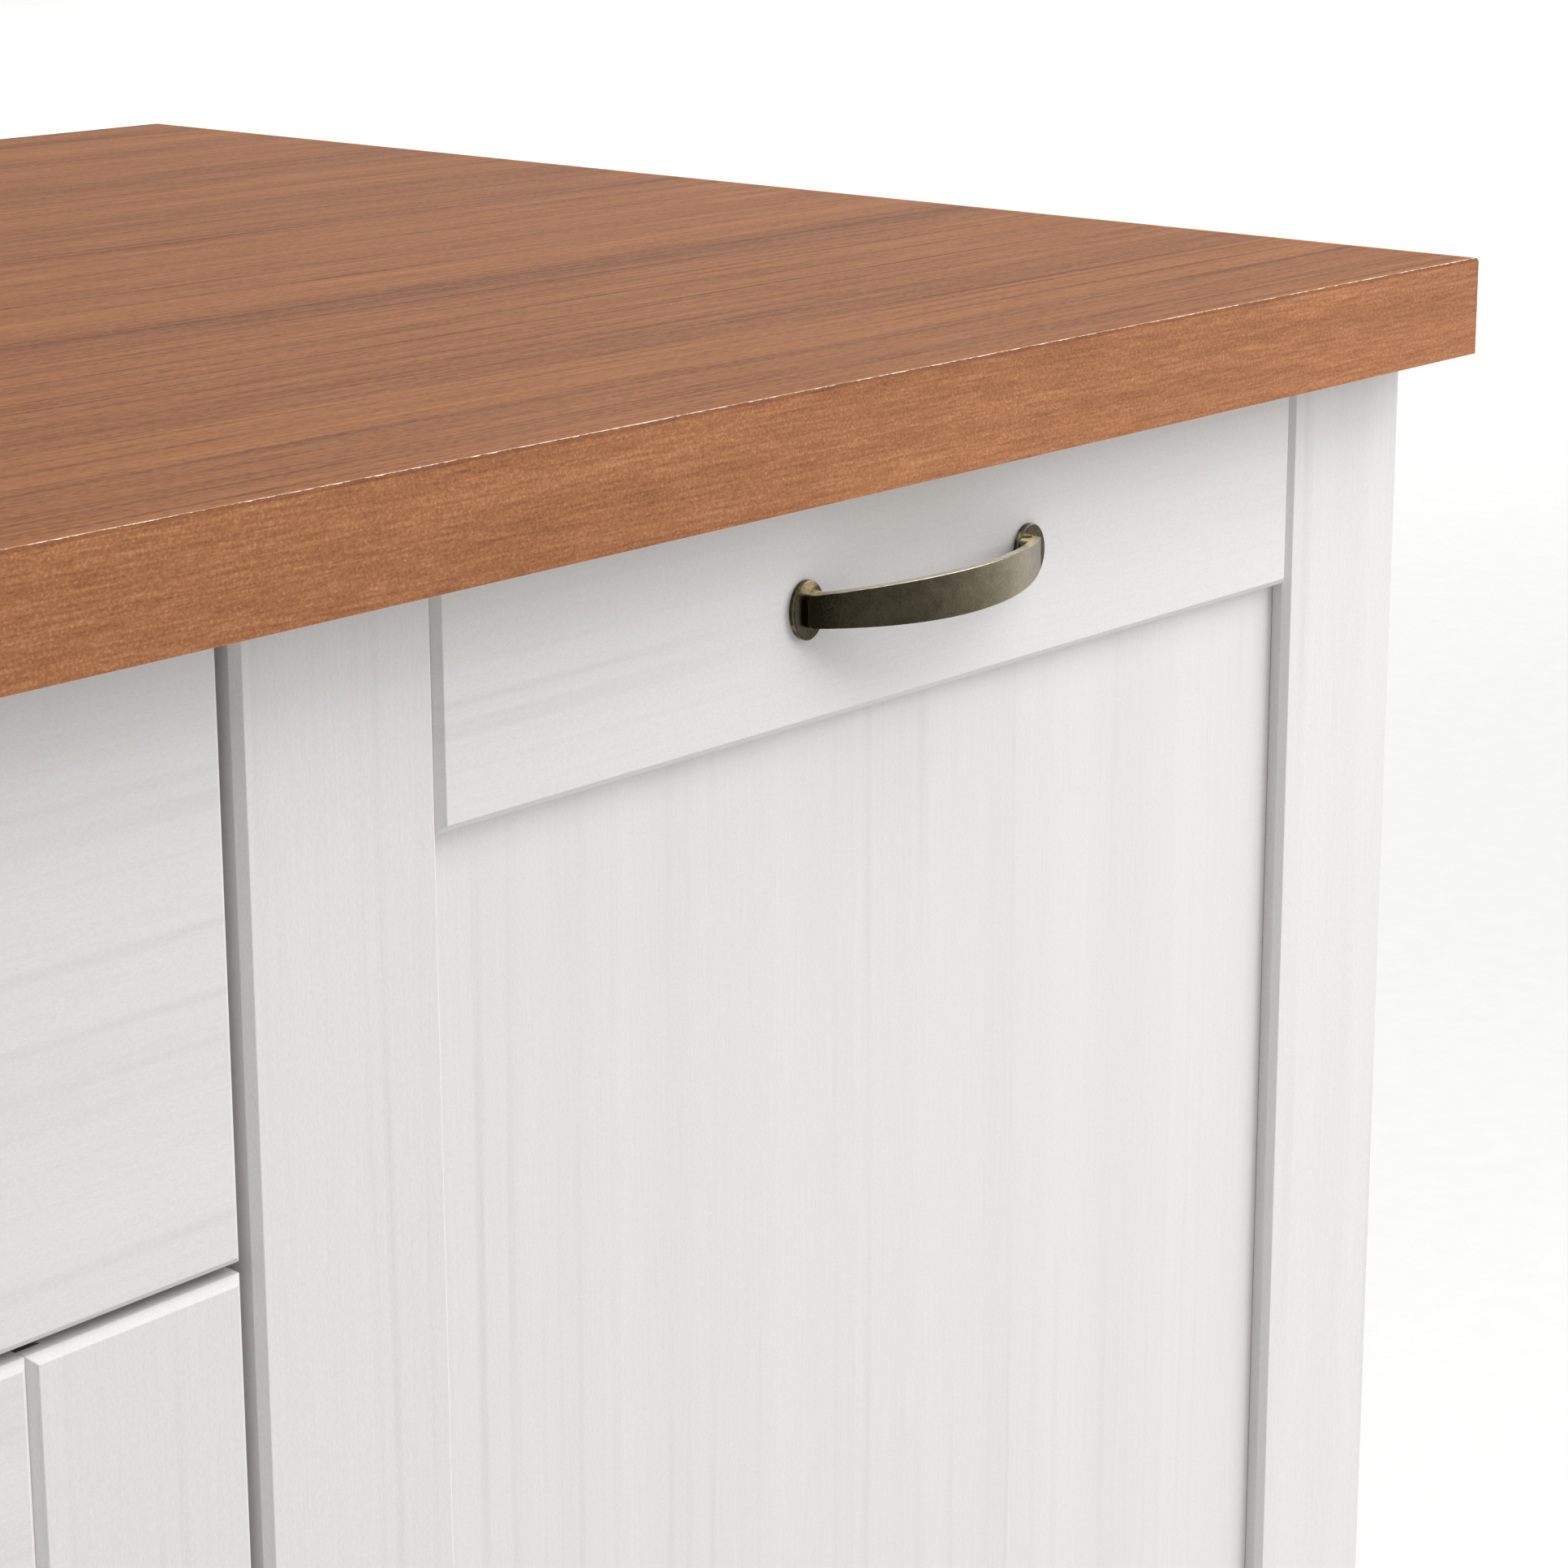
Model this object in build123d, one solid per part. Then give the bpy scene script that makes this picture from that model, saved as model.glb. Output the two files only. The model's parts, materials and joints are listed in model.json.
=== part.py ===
from build123d import *
import os

# Two-bay kitchen base cabinet, in millimetres.
# The left bay has a drawer over a framed door, the right bay a framed full-height pull-out.
# +X is to the right of someone facing the cabinet, -Y is the front, +Z is up.
# The origin is on the floor, under the partition, half way along the carcass depth.

# Carcass
bay_width = 450.0
panel_thickness = 16.0
carcass_depth = 540.0
carcass_height = 720.0
plinth_height = 100.0
toe_recess = 50.0
plinth_thickness = 16.0
plinth_top_gap = 1.0
stretcher_width = 90.0
rear_stretcher_height = 100.0
back_thickness = 3.0
back_groove_depth = 5.0
back_groove_play = 0.2
back_inset = 10.0
wall_hole_radius = 3.0
wall_hole_drop = 50.0

# Worktop
worktop_thickness = 28.0
worktop_depth = 600.0
worktop_front_overhang = 20.0
worktop_end_overhang = 5.5
edging_thickness = 1.5
edging_bevel = 0.8

# Fronts
front_thickness = 18.0
front_standoff = 3.0
front_top_gap = 4.0
front_side_gap = 3.5
front_stack_gap = 2.5
front_bottom_gap = 3.0
drawer_front_height = 139.0
frame_member_width = 57.0
front_chamfer = 2.0
panel_setback = 5.3
panel_board = 8.0
panel_tongue = 6.0
panel_play = 0.1

# Bow handle
handle_span = 88.0
handle_rise = 18.0
handle_drop = 27.0
strap_radius = 79.0
strap_half_length = 47.0
strap_thickness = 2.4
strap_mid_height = 11.4
strap_end_height = 8.2
strap_edge_round = 0.6
backplate_width = 11.4
backplate_height = 15.0
backplate_thickness = 1.7
backplate_rim_round = 0.5
foot_width = 8.0
foot_height = 6.6
foot_inset = 1.0
foot_round = 1.2
handle_screw_radius = 1.75
handle_screw_head_radius = 4.0
handle_screw_head_height = 2.6
handle_thread_depth = 2.8

# Shelf
shelf_thickness = 16.0
shelf_play = 0.6
shelf_front_setback = 20.0
shelf_height = 275.0
pin_hole_radius = 2.5
pin_hole_depth = 10.0
pin_end_gap = 1.0
pin_hole_pitch = 32.0
pin_holes_each_way = 2
pin_front_setback = 69.0
pin_rear_setback = 60.0
pin_reach = 9.0
pin_collar_radius = 3.6
pin_fit = 0.05

# Fasteners
cam_radius = 7.5
cam_depth = 12.0
cam_edge_distance = 24.0
cam_fit = 0.1
cam_slot_width = 2.0
cam_slot_depth = 2.5
worktop_screw_radius = 2.0
worktop_screw_bite = 18.0
worktop_screw_head_radius = 4.5
worktop_screw_head_height = 2.0
worktop_screw_spacing = 260.0
screw_clearance = 0.3
thread_clearance = 0.03
screw_end_gap = 0.5

# Roller runners
runner_gap = 12.5
runner_length = 450.0
runner_front_setback = 2.0
rail_sheet = 1.2
rail_flange = 9.5
roller_radius = 10.0
roller_width = 8.0
roller_chamfer = 0.6
roller_hub_radius = 5.6
roller_web = 3.2
roller_rim = 2.2
roller_axle_radius = 3.0
axle_fit = 0.06
running_clearance = 0.3
roller_side_gap = 0.3
axle_head_radius = 4.6
axle_head_height = 0.9
roller_end_distance = 14.0
top_track_cutback = 28.0
front_roller_rise = 1.0
rail_lip = 12.0
drawer_rail_flange = 10.0
rail_screw_radius = 2.2
rail_screw_spacing = 180.0

# Drawer box
drawer_rail_height = 700.0
drawer_side_thickness = 12.0
drawer_side_height = 84.0
drawer_bottom_thickness = 3.0
drawer_bottom_rise = 8.0
drawer_bottom_tongue = 6.0
seat_on_lip = 2.0

# Pull-out frame and bins
pullout_rail_height = 520.0
frame_sheet = 2.0
frame_skirt_height = 32.0
frame_end_gap = 10.0
frame_flange = 22.0
frame_middle_bar = 26.0
frame_opening_round = 30.0
front_plate_width = 35.0
front_plate_drop = 190.0
bin_play = 2.0
bin_height = 380.0
bin_wall = 2.0
bin_taper = 3.0
bin_rim_width = 9.0
bin_rim_thickness = 2.5

# Cup hinges
hinge_end_distance = 90.0
hinge_pin_inset = 7.5
hinge_pin_depth = 9.5
hinge_pin_radius = 1.75
hinge_pin_length = 18.0
hinge_ear_width = 5.5
hinge_ear_gap = 0.3
hinge_pin_fit = 0.06
cup_radius = 17.5
cup_edge_distance = 3.0
cup_depth = 14.0
cup_wall = 0.8
cup_rim = 0.5
cup_flange_thickness = 1.0
cup_flange_length = 62.0
cup_flange_width = 17.0
cup_flange_offset = 10.0
cup_flange_round = 5.6
cup_fit = 0.1
arm_eye_radius = 3.0
arm_thickness = 2.6
arm_neck_length = 15.0
arm_neck_width = 8.0
arm_bend_round = 2.0
arm_body_width = 12.0
arm_body_length = 62.0
arm_body_thickness = 5.0
mounting_plate_thickness = 2.0
mounting_plate_length = 56.0
mounting_plate_width = 16.0
mounting_wing_length = 52.0
mounting_wing_width = 12.0
mounting_wing_round = 4.0
mounting_plate_setback = 10.0
bumper_radius = 2.5
bumper_end_distance = 25.0
bumper_clearance = 0.3

# Places worked out from the sizes above
carcass_width = 2 * bay_width
carcass_top = plinth_height + carcass_height
front_edge_y = -carcass_depth / 2
rear_edge_y = carcass_depth / 2
back_panel_y = rear_edge_y - back_inset - back_thickness - back_groove_play
inner_rear_y = back_panel_y - back_groove_play
front_back_y = front_edge_y - front_standoff
face_y = front_back_y - front_thickness
worktop_front_y = face_y - worktop_front_overhang
front_top_z = carcass_top - front_top_gap
front_bottom_z = plinth_height + front_bottom_gap
drawer_front_bottom_z = front_top_z - drawer_front_height
door_top_z = drawer_front_bottom_z - front_stack_gap
floor_panel_top_z = plinth_height + panel_thickness
left_bay = (-carcass_width / 2 + panel_thickness, -panel_thickness / 2)
right_bay = (panel_thickness / 2, carcass_width / 2 - panel_thickness)
left_front = (-carcass_width / 2 + front_side_gap / 2, -front_side_gap / 2)
right_front = (front_side_gap / 2, carcass_width / 2 - front_side_gap / 2)
channel_height = 2 * (roller_radius + running_clearance)
front_roller_rise_z = channel_height + rail_sheet + front_roller_rise - roller_radius
rear_roller_rise_z = roller_radius + running_clearance
track_rise_z = front_roller_rise_z + roller_radius + running_clearance
rail_front_y = front_edge_y + runner_front_setback
front_roller_y = rail_front_y + roller_end_distance
moving_rail_front_y = front_back_y + runner_front_setback
drawer_rear_y = moving_rail_front_y + runner_length
rear_roller_y = drawer_rear_y - roller_end_distance
frame_length = runner_length - frame_end_gap


def block(x, y, z):
    """A box between the two ends given along each axis."""
    low = Vector(min(x), min(y), min(z))
    size = (abs(x[1] - x[0]), abs(y[1] - y[0]), abs(z[1] - z[0]))
    return Pos(low) * Box(*size, align=(Align.MIN, Align.MIN, Align.MIN))


def rod(radius, start, length, axis):
    """A round bar from start, along +X, +Y or +Z, or the other way where length is negative."""
    turn = {"x": Rot(0, 90, 0), "y": Rot(-90, 0, 0), "z": Rot(0, 0, 0)}[axis]
    low = Vector(*start)
    if length < 0:
        low += Vector(*[length if name == axis else 0 for name in "xyz"])
    bar = Cylinder(radius, abs(length), align=(Align.CENTER, Align.CENTER, Align.MIN))
    return Pos(low) * turn * bar


def group(solids):
    """Like pieces that share one node, kept as separate solids."""
    return Compound(children=list(solids))


def save(name, shape):
    export_step(shape, os.path.join("parts", name + ".step"))


def edge_chamfered(board):
    """A board with the four edges of its front face chamfered."""
    front = board.faces().sort_by(Axis.Y)[0]
    return chamfer(front.edges(), front_chamfer)


# Carcass panels


def back_groove(x):
    return block(
        x,
        (back_panel_y - back_groove_play, back_panel_y + back_thickness + back_groove_play),
        (plinth_height, carcass_top),
    )


def upright_profile():
    """The outline of a side panel, with the toe recess and the seat of the plinth board."""
    notch_y = front_edge_y + toe_recess + plinth_thickness
    points = [
        (notch_y, 0),
        (rear_edge_y, 0),
        (rear_edge_y, carcass_top),
        (front_edge_y, carcass_top),
        (front_edge_y, plinth_height),
        (notch_y, plinth_height),
    ]
    return make_face(Polyline(*points, close=True))


def upright(x):
    """A panel that stands on the floor, from x[0] to x[1]."""
    width = x[1] - x[0]
    return Pos(x[0], 0, 0) * extrude(Plane.YZ * upright_profile(), width)


def pin_hole_places():
    rows = range(-pin_holes_each_way, pin_holes_each_way + 1)
    columns = (front_edge_y + pin_front_setback, inner_rear_y - pin_rear_setback)
    return [(y, shelf_pin_z() + row * pin_hole_pitch) for y in columns for row in rows]


def shelf_bottom_z():
    return floor_panel_top_z + shelf_height


def shelf_pin_z():
    return shelf_bottom_z() - pin_collar_radius


def pin_holes(x, depth):
    return [rod(pin_hole_radius, (x, y, z), depth, "x") for y, z in pin_hole_places()]


def side_panel_left():
    x = (-carcass_width / 2, left_bay[0])
    panel = upright(x) - back_groove((left_bay[0] - back_groove_depth, left_bay[0]))
    return panel - pin_holes(left_bay[0], -pin_hole_depth)


def side_panel_right():
    x = (right_bay[1], carcass_width / 2)
    return upright(x) - back_groove((right_bay[1], right_bay[1] + back_groove_depth))


def partition_panel():
    panel = upright((left_bay[1], right_bay[0]))
    panel -= back_groove((left_bay[1], left_bay[1] + back_groove_depth))
    panel -= back_groove((right_bay[0] - back_groove_depth, right_bay[0]))
    return panel - pin_holes(left_bay[1], pin_hole_depth)


def cam_places(bay, z, rise, ys):
    """Where the cam discs of a level board sit, as the centre of the face and the way in."""
    xs = (bay[0] + cam_edge_distance, bay[1] - cam_edge_distance)
    return [((x, y, z), rise) for x in xs for y in ys]


def all_cams():
    """The cams of the bottom panels, let in from below, and of the front stretchers."""
    places = []
    bottom_ys = (front_edge_y / 2, rear_edge_y / 2)
    stretcher_ys = (front_edge_y + stretcher_width / 2,)
    for bay in (left_bay, right_bay):
        places += cam_places(bay, plinth_height, cam_depth, bottom_ys)
        under = carcass_top - panel_thickness
        places += cam_places(bay, under, cam_depth, stretcher_ys)
    return places


def cam_bores():
    return [rod(cam_radius + cam_fit, at, depth, "z") for at, depth in all_cams()]


def cam_lock(at, depth):
    """A cam disc, flush with the board, with a screwdriver slot across its face."""
    x, y, z = at
    slot = block(
        (x - cam_radius, x + cam_radius),
        (y - cam_slot_width / 2, y + cam_slot_width / 2),
        (z, z + cam_slot_depth),
    )
    return rod(cam_radius, at, depth, "z") - slot


def bottom_panel(bay):
    z = (plinth_height, floor_panel_top_z)
    return block(bay, (front_edge_y, inner_rear_y), z) - cam_bores()


def worktop_screw_places():
    middle_y = front_edge_y + stretcher_width / 2
    for bay in (left_bay, right_bay):
        middle = sum(bay) / 2
        for way in (-1, 1):
            yield middle + way * worktop_screw_spacing / 2, middle_y


def front_stretcher(bay):
    y = (front_edge_y, front_edge_y + stretcher_width)
    z = (carcass_top - panel_thickness, carcass_top)
    radius = worktop_screw_radius + screw_clearance
    holes = [rod(radius, (x, y0, z[0]), panel_thickness, "z") for x, y0 in worktop_screw_places()]
    return block(bay, y, z) - holes - cam_bores()


def wall_hole(bay, start_y, length):
    """The hole that a wall screw goes through, in the middle of a bay."""
    z = carcass_top - wall_hole_drop
    return rod(wall_hole_radius, (sum(bay) / 2, start_y, z), length, "y")


def rear_stretcher(bay):
    y = (inner_rear_y - panel_thickness, inner_rear_y)
    z = (carcass_top - rear_stretcher_height, carcass_top)
    return block(bay, y, z) - wall_hole(bay, y[0], panel_thickness)


def back_panel(bay):
    tongue = back_groove_depth - 2 * back_groove_play
    x = (bay[0] - tongue, bay[1] + tongue)
    y = (back_panel_y, back_panel_y + back_thickness)
    hole = wall_hole(bay, back_panel_y, back_thickness)
    return block(x, y, (plinth_height, carcass_top)) - hole


def plinth_board():
    front = front_edge_y + toe_recess
    x = (-carcass_width / 2, carcass_width / 2)
    return block(x, (front, front + plinth_thickness), (0, plinth_height - plinth_top_gap))


def shelf():
    x = (left_bay[0] + shelf_play, left_bay[1] - shelf_play)
    y = (front_edge_y + shelf_front_setback, inner_rear_y - shelf_play)
    z = (shelf_bottom_z(), shelf_bottom_z() + shelf_thickness)
    return block(x, y, z)


def shelf_pin(x, way, y):
    """A pin that stands out of the panel face at x, towards the bay."""
    z = shelf_pin_z()
    shank = rod(pin_hole_radius - pin_fit, (x, y, z), -way * (pin_hole_depth - pin_end_gap), "x")
    collar = rod(pin_collar_radius, (x, y, z), way * pin_reach, "x")
    return shank + collar


def shelf_pins():
    ys = (front_edge_y + pin_front_setback, inner_rear_y - pin_rear_setback)
    faces = ((left_bay[0], 1), (left_bay[1], -1))
    return group(shelf_pin(x, way, y) for x, way in faces for y in ys)


# Worktop


def worktop_limits():
    half = carcass_width / 2 + worktop_end_overhang
    return (-half, half), (worktop_front_y, worktop_front_y + worktop_depth)


def worktop_board():
    (x0, x1), (y0, y1) = worktop_limits()
    core = block(
        (x0 + edging_thickness, x1 - edging_thickness),
        (y0 + edging_thickness, y1),
        (carcass_top, carcass_top + worktop_thickness),
    )
    radius = worktop_screw_radius + thread_clearance
    pilots = [rod(radius, (x, y, carcass_top), worktop_screw_bite, "z") for x, y in worktop_screw_places()]
    return core - pilots


def worktop_edging():
    """The strips on the front edge and both ends, with a fine bevel along the front's top edge."""
    (x0, x1), (y0, y1) = worktop_limits()
    z = (carcass_top, carcass_top + worktop_thickness)
    front = block((x0, x1), (y0, y0 + edging_thickness), z)
    arris = front.edges().filter_by(Axis.X).group_by(Axis.Z)[-1].sort_by(Axis.Y)[0]
    front = chamfer(arris, edging_bevel)
    end_y = (y0 + edging_thickness, y1)
    left = block((x0, x0 + edging_thickness), end_y, z)
    right = block((x1 - edging_thickness, x1), end_y, z)
    return group((front, left, right))


def worktop_screw(x, y):
    under = carcass_top - panel_thickness
    length = panel_thickness + worktop_screw_bite - screw_end_gap
    shank = rod(worktop_screw_radius, (x, y, under), length, "z")
    return shank + rod(worktop_screw_head_radius, (x, y, under), -worktop_screw_head_height, "z")


# Roller runners


def cabinet_rail(face_x, way, base_z):
    """A channel screwed to the panel face at face_x; way is the sign of X into the bay."""

    def across(start, end):
        return face_x + way * start, face_x + way * end

    y = (rail_front_y, rail_front_y + runner_length)
    top_z = base_z + channel_height
    web = block(across(0, rail_sheet), y, (base_z - rail_sheet, top_z + rail_sheet))
    track = block(across(0, rail_flange), y, (base_z - rail_sheet, base_z))
    cover_y = (rail_front_y + top_track_cutback, y[1])
    cover = block(across(0, rail_flange), cover_y, (top_z, top_z + rail_sheet))
    rail = web + track + cover
    middle_z = base_z + channel_height / 2
    middle_y = rail_front_y + runner_length / 2
    for step in (-1, 1):
        start = (face_x, middle_y + step * rail_screw_spacing / 2, middle_z)
        rail -= rod(rail_screw_radius, start, way * rail_sheet, "x")
    axle = (face_x, front_roller_y, base_z + front_roller_rise_z)
    return rail - rod(roller_axle_radius, axle, way * rail_sheet, "x")


def moving_rail(side_x, way, base_z):
    """A rail under and beside the side face at side_x; way is the sign of X to the panel."""

    def across(start, end):
        return side_x + way * start, side_x + way * end

    y = (moving_rail_front_y, moving_rail_front_y + runner_length)
    lip_z = base_z + seat_on_lip
    track_z = base_z + track_rise_z
    web = block(across(0, rail_sheet), y, (lip_z - rail_sheet, track_z + rail_sheet))
    lip = block(across(-rail_lip, rail_sheet), y, (lip_z - rail_sheet, lip_z))
    track = block(across(0, drawer_rail_flange), y, (track_z, track_z + rail_sheet))
    axle = (side_x, rear_roller_y, base_z + rear_roller_rise_z)
    return web + lip + track - rod(roller_axle_radius, axle, way * rail_sheet, "x")


def axle_rivet(face_x, way, y, z):
    """A rivet through a rail, on which a roller turns."""
    length = rail_sheet + 2 * roller_side_gap + roller_width
    shank = rod(roller_axle_radius, (face_x, y, z), way * length, "x")
    head_x = face_x + way * length
    return shank + rod(axle_head_radius, (head_x, y, z), way * axle_head_height, "x")


def roller(face_x, way, y, z):
    """A moulded roller with a hub, a thin web and a rim, beside the rail at face_x."""
    half = roller_width / 2
    bore = roller_axle_radius + axle_fit
    rim_inner = roller_radius - roller_rim
    points = [
        (-half, bore),
        (half, bore),
        (half, roller_hub_radius),
        (roller_web / 2, roller_hub_radius),
        (roller_web / 2, rim_inner),
        (half, rim_inner),
        (half, roller_radius - roller_chamfer),
        (half - roller_chamfer, roller_radius),
        (roller_chamfer - half, roller_radius),
        (-half, roller_radius - roller_chamfer),
        (-half, rim_inner),
        (-roller_web / 2, rim_inner),
        (-roller_web / 2, roller_hub_radius),
        (-half, roller_hub_radius),
    ]
    wheel = revolve(make_face(Polyline(*points, close=True)), Axis.X)
    centre = face_x + way * (rail_sheet + roller_side_gap + half)
    return Pos(centre, y, z) * wheel


def bay_faces(bay):
    """Each panel face of a bay, with the sign of X that points into the bay."""
    return {"left": (bay[0], 1), "right": (bay[1], -1)}


def box_faces(bay):
    """Each outer face of what slides in a bay, with the sign of X that points to the panel."""
    return {"left": (bay[0] + runner_gap, -1), "right": (bay[1] - runner_gap, 1)}


def save_runners(name, bay, base_z):
    """The fixed and moving rails of one bay, their rollers and the moving rails' rivets."""
    front_z = base_z + front_roller_rise_z
    rear_z = base_z + rear_roller_rise_z
    for side, (face_x, way) in bay_faces(bay).items():
        save(f"{name}_cabinet_rail_{side}", cabinet_rail(face_x, way, base_z))
    for side, (side_x, way) in box_faces(bay).items():
        save(f"{name}_rail_{side}", moving_rail(side_x, way, base_z))
    fixed = bay_faces(bay).values()
    moving = box_faces(bay).values()
    save(f"{name}_front_rollers", group(roller(x, way, front_roller_y, front_z) for x, way in fixed))
    save(f"{name}_rear_rollers", group(roller(x, way, rear_roller_y, rear_z) for x, way in moving))
    save(f"{name}_rail_rivets", group(axle_rivet(x, way, rear_roller_y, rear_z) for x, way in moving))


def cabinet_rail_rivets():
    for bay, base_z in ((left_bay, drawer_rail_height), (right_bay, pullout_rail_height)):
        for face_x, way in bay_faces(bay).values():
            yield axle_rivet(face_x, way, front_roller_y, base_z + front_roller_rise_z)


# Bow handle


def handle_screw_axes(middle_x):
    return [middle_x + way * handle_span / 2 for way in (-1, 1)]


def bow_arc(radius):
    """A tall round bar on the bow's axis, for a handle centred on the origin."""
    return Pos(0, strap_radius - handle_rise, 0) * Cylinder(radius, 2 * strap_mid_height)


def bow_strap():
    """The curved flat strap, taller in the middle than at its ends."""
    ring = bow_arc(strap_radius) - bow_arc(strap_radius - strap_thickness)
    half, tall, low = strap_half_length, strap_mid_height / 2, strap_end_height / 2
    outline = make_face(
        [
            ThreePointArc((-half, low), (0, tall), (half, low)),
            Line((half, low), (half, -low)),
            ThreePointArc((half, -low), (0, -tall), (-half, -low)),
            Line((-half, -low), (-half, low)),
        ]
    )
    strap = ring & extrude(Plane.XZ * outline, handle_rise + strap_thickness)
    long_edges = strap.edges().sort_by(SortBy.LENGTH)[-4:]
    return fillet(long_edges, strap_edge_round)


def backplate(x):
    """An oval plate, its long axis upright, behind one foot of the handle."""
    oval = Plane.XZ * Pos(x, 0, 0) * Ellipse(backplate_width / 2, backplate_height / 2)
    plate = extrude(oval, backplate_thickness)
    rim = plate.faces().sort_by(Axis.Y)[0].edges()
    return fillet(rim, backplate_rim_round)


def handle_foot(x):
    """The block between the strap's end and its backplate, trimmed half way into the strap."""
    x_range = (x - foot_width / 2, x + foot_width / 2)
    z_range = (-foot_height / 2, foot_height / 2)
    foot = block(x_range, (-handle_rise, -backplate_thickness / 2), z_range)
    foot = fillet(foot.edges().filter_by(Axis.Y), foot_round)
    return foot & bow_arc(strap_radius - strap_thickness / 2)


def bow_handle(middle_x, middle_z):
    handle = bow_strap()
    for x in handle_screw_axes(0):
        inward = foot_inset if x < 0 else -foot_inset
        handle = handle + backplate(x) + handle_foot(x + inward)
    bore = handle_screw_radius + thread_clearance
    for x in handle_screw_axes(0):
        handle -= rod(bore, (x, 0, 0), -handle_thread_depth, "y")
    return Pos(middle_x, face_y, middle_z) * handle


def handle_holes(middle_x, middle_z):
    radius = handle_screw_radius + screw_clearance
    xs = handle_screw_axes(middle_x)
    return [rod(radius, (x, face_y, middle_z), front_thickness, "y") for x in xs]


def handle_screws(middle_x, middle_z):
    length = front_thickness + handle_thread_depth - screw_end_gap

    def screw(x):
        back = (x, front_back_y, middle_z)
        shank = rod(handle_screw_radius, back, -length, "y")
        return shank + rod(handle_screw_head_radius, back, handle_screw_head_height, "y")

    return group(screw(x) for x in handle_screw_axes(middle_x))


# Framed fronts


def panel_groove(x, z):
    y0 = face_y + panel_setback - panel_play
    return block(x, (y0, y0 + panel_board + 2 * panel_play), z)


def stile(outer_x, way, z):
    """An upright frame member; way is the sign of X from its outer edge to the panel."""
    inner_x = outer_x + way * frame_member_width
    member = edge_chamfered(block((outer_x, inner_x), (face_y, front_back_y), z))
    deep = inner_x - way * (panel_tongue + panel_play)
    return member - panel_groove((deep, inner_x), z)


def rail(x, outer_z, way):
    """A level frame member between the stiles; way is the sign of Z from its outer edge to the panel."""
    inner_z = outer_z + way * frame_member_width
    between = (x[0] + frame_member_width, x[1] - frame_member_width)
    member = edge_chamfered(block(between, (face_y, front_back_y), (outer_z, inner_z)))
    deep = inner_z - way * (panel_tongue + panel_play)
    return member - panel_groove(between, (deep, inner_z))


def save_framed_front(name, x, z, middle_z, hinge_bores=()):
    """The five pieces of a framed front, its handle and the handle's screws."""
    middle_x = sum(x) / 2
    save(f"{name}_stile_left", stile(x[0], 1, z) - hinge_bores)
    save(f"{name}_stile_right", stile(x[1], -1, z))
    save(f"{name}_rail_top", rail(x, z[1], -1) - handle_holes(middle_x, middle_z))
    save(f"{name}_rail_bottom", rail(x, z[0], 1))
    inset = frame_member_width - panel_tongue
    panel_y = (face_y + panel_setback, face_y + panel_setback + panel_board)
    save(f"{name}_panel", block((x[0] + inset, x[1] - inset), panel_y, (z[0] + inset, z[1] - inset)))
    save(f"{name}_handle", bow_handle(middle_x, middle_z))
    save(f"{name}_handle_screws", handle_screws(middle_x, middle_z))


# Drawer


def drawer_side(side_x, way):
    """A drawer side from its outer face, with the groove of the drawer bottom."""
    z0 = drawer_rail_height + seat_on_lip
    inner_x = side_x - way * drawer_side_thickness
    y = (front_back_y, drawer_rear_y)
    board = block((side_x, inner_x), y, (z0, z0 + drawer_side_height))
    groove_z = z0 + drawer_bottom_rise
    groove = (groove_z - panel_play, groove_z + drawer_bottom_thickness + panel_play)
    return board - block((inner_x, inner_x + way * drawer_bottom_tongue), y, groove)


def drawer_inner_x():
    return (
        left_bay[0] + runner_gap + drawer_side_thickness,
        left_bay[1] - runner_gap - drawer_side_thickness,
    )


def drawer_bottom():
    x0, x1 = drawer_inner_x()
    tongue = drawer_bottom_tongue - panel_play
    z0 = drawer_rail_height + seat_on_lip + drawer_bottom_rise
    y = (front_back_y - tongue, drawer_rear_y)
    return block((x0 - tongue, x1 + tongue), y, (z0, z0 + drawer_bottom_thickness))


def drawer_back():
    z0 = drawer_rail_height + seat_on_lip
    z = (z0 + drawer_bottom_rise + drawer_bottom_thickness, z0 + drawer_side_height)
    return block(drawer_inner_x(), (drawer_rear_y - drawer_side_thickness, drawer_rear_y), z)


def drawer_front(middle_z):
    x0, x1 = drawer_inner_x()
    slab = edge_chamfered(block(left_front, (face_y, front_back_y), (drawer_front_bottom_z, front_top_z)))
    z0 = drawer_rail_height + seat_on_lip + drawer_bottom_rise
    groove_x = (x0 - drawer_bottom_tongue, x1 + drawer_bottom_tongue)
    groove_y = (front_back_y - drawer_bottom_tongue, front_back_y)
    groove_z = (z0 - panel_play, z0 + drawer_bottom_thickness + panel_play)
    slab -= block(groove_x, groove_y, groove_z)
    return slab - handle_holes(sum(left_front) / 2, middle_z)


def save_drawer(middle_z):
    middle_x = sum(left_front) / 2
    save("drawer_front", drawer_front(middle_z))
    for side, (side_x, way) in box_faces(left_bay).items():
        save(f"drawer_side_{side}", drawer_side(side_x, way))
    save("drawer_back", drawer_back())
    save("drawer_bottom", drawer_bottom())
    save("drawer_handle", bow_handle(middle_x, middle_z))
    save("drawer_handle_screws", handle_screws(middle_x, middle_z))


# Pull-out frame and bins


def frame_outer_x():
    return right_bay[0] + runner_gap, right_bay[1] - runner_gap


def frame_top_z():
    return pullout_rail_height + seat_on_lip + frame_skirt_height


def bin_openings():
    """The centre y of each opening in the frame, and the openings' size."""
    x0, x1 = frame_outer_x()
    width = x1 - x0 - 2 * frame_flange
    length = (frame_length - 2 * frame_flange - frame_middle_bar) / 2
    middle = front_back_y + frame_length / 2
    step = (length + frame_middle_bar) / 2
    return {"front": middle - step, "rear": middle + step}, (width, length)


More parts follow.
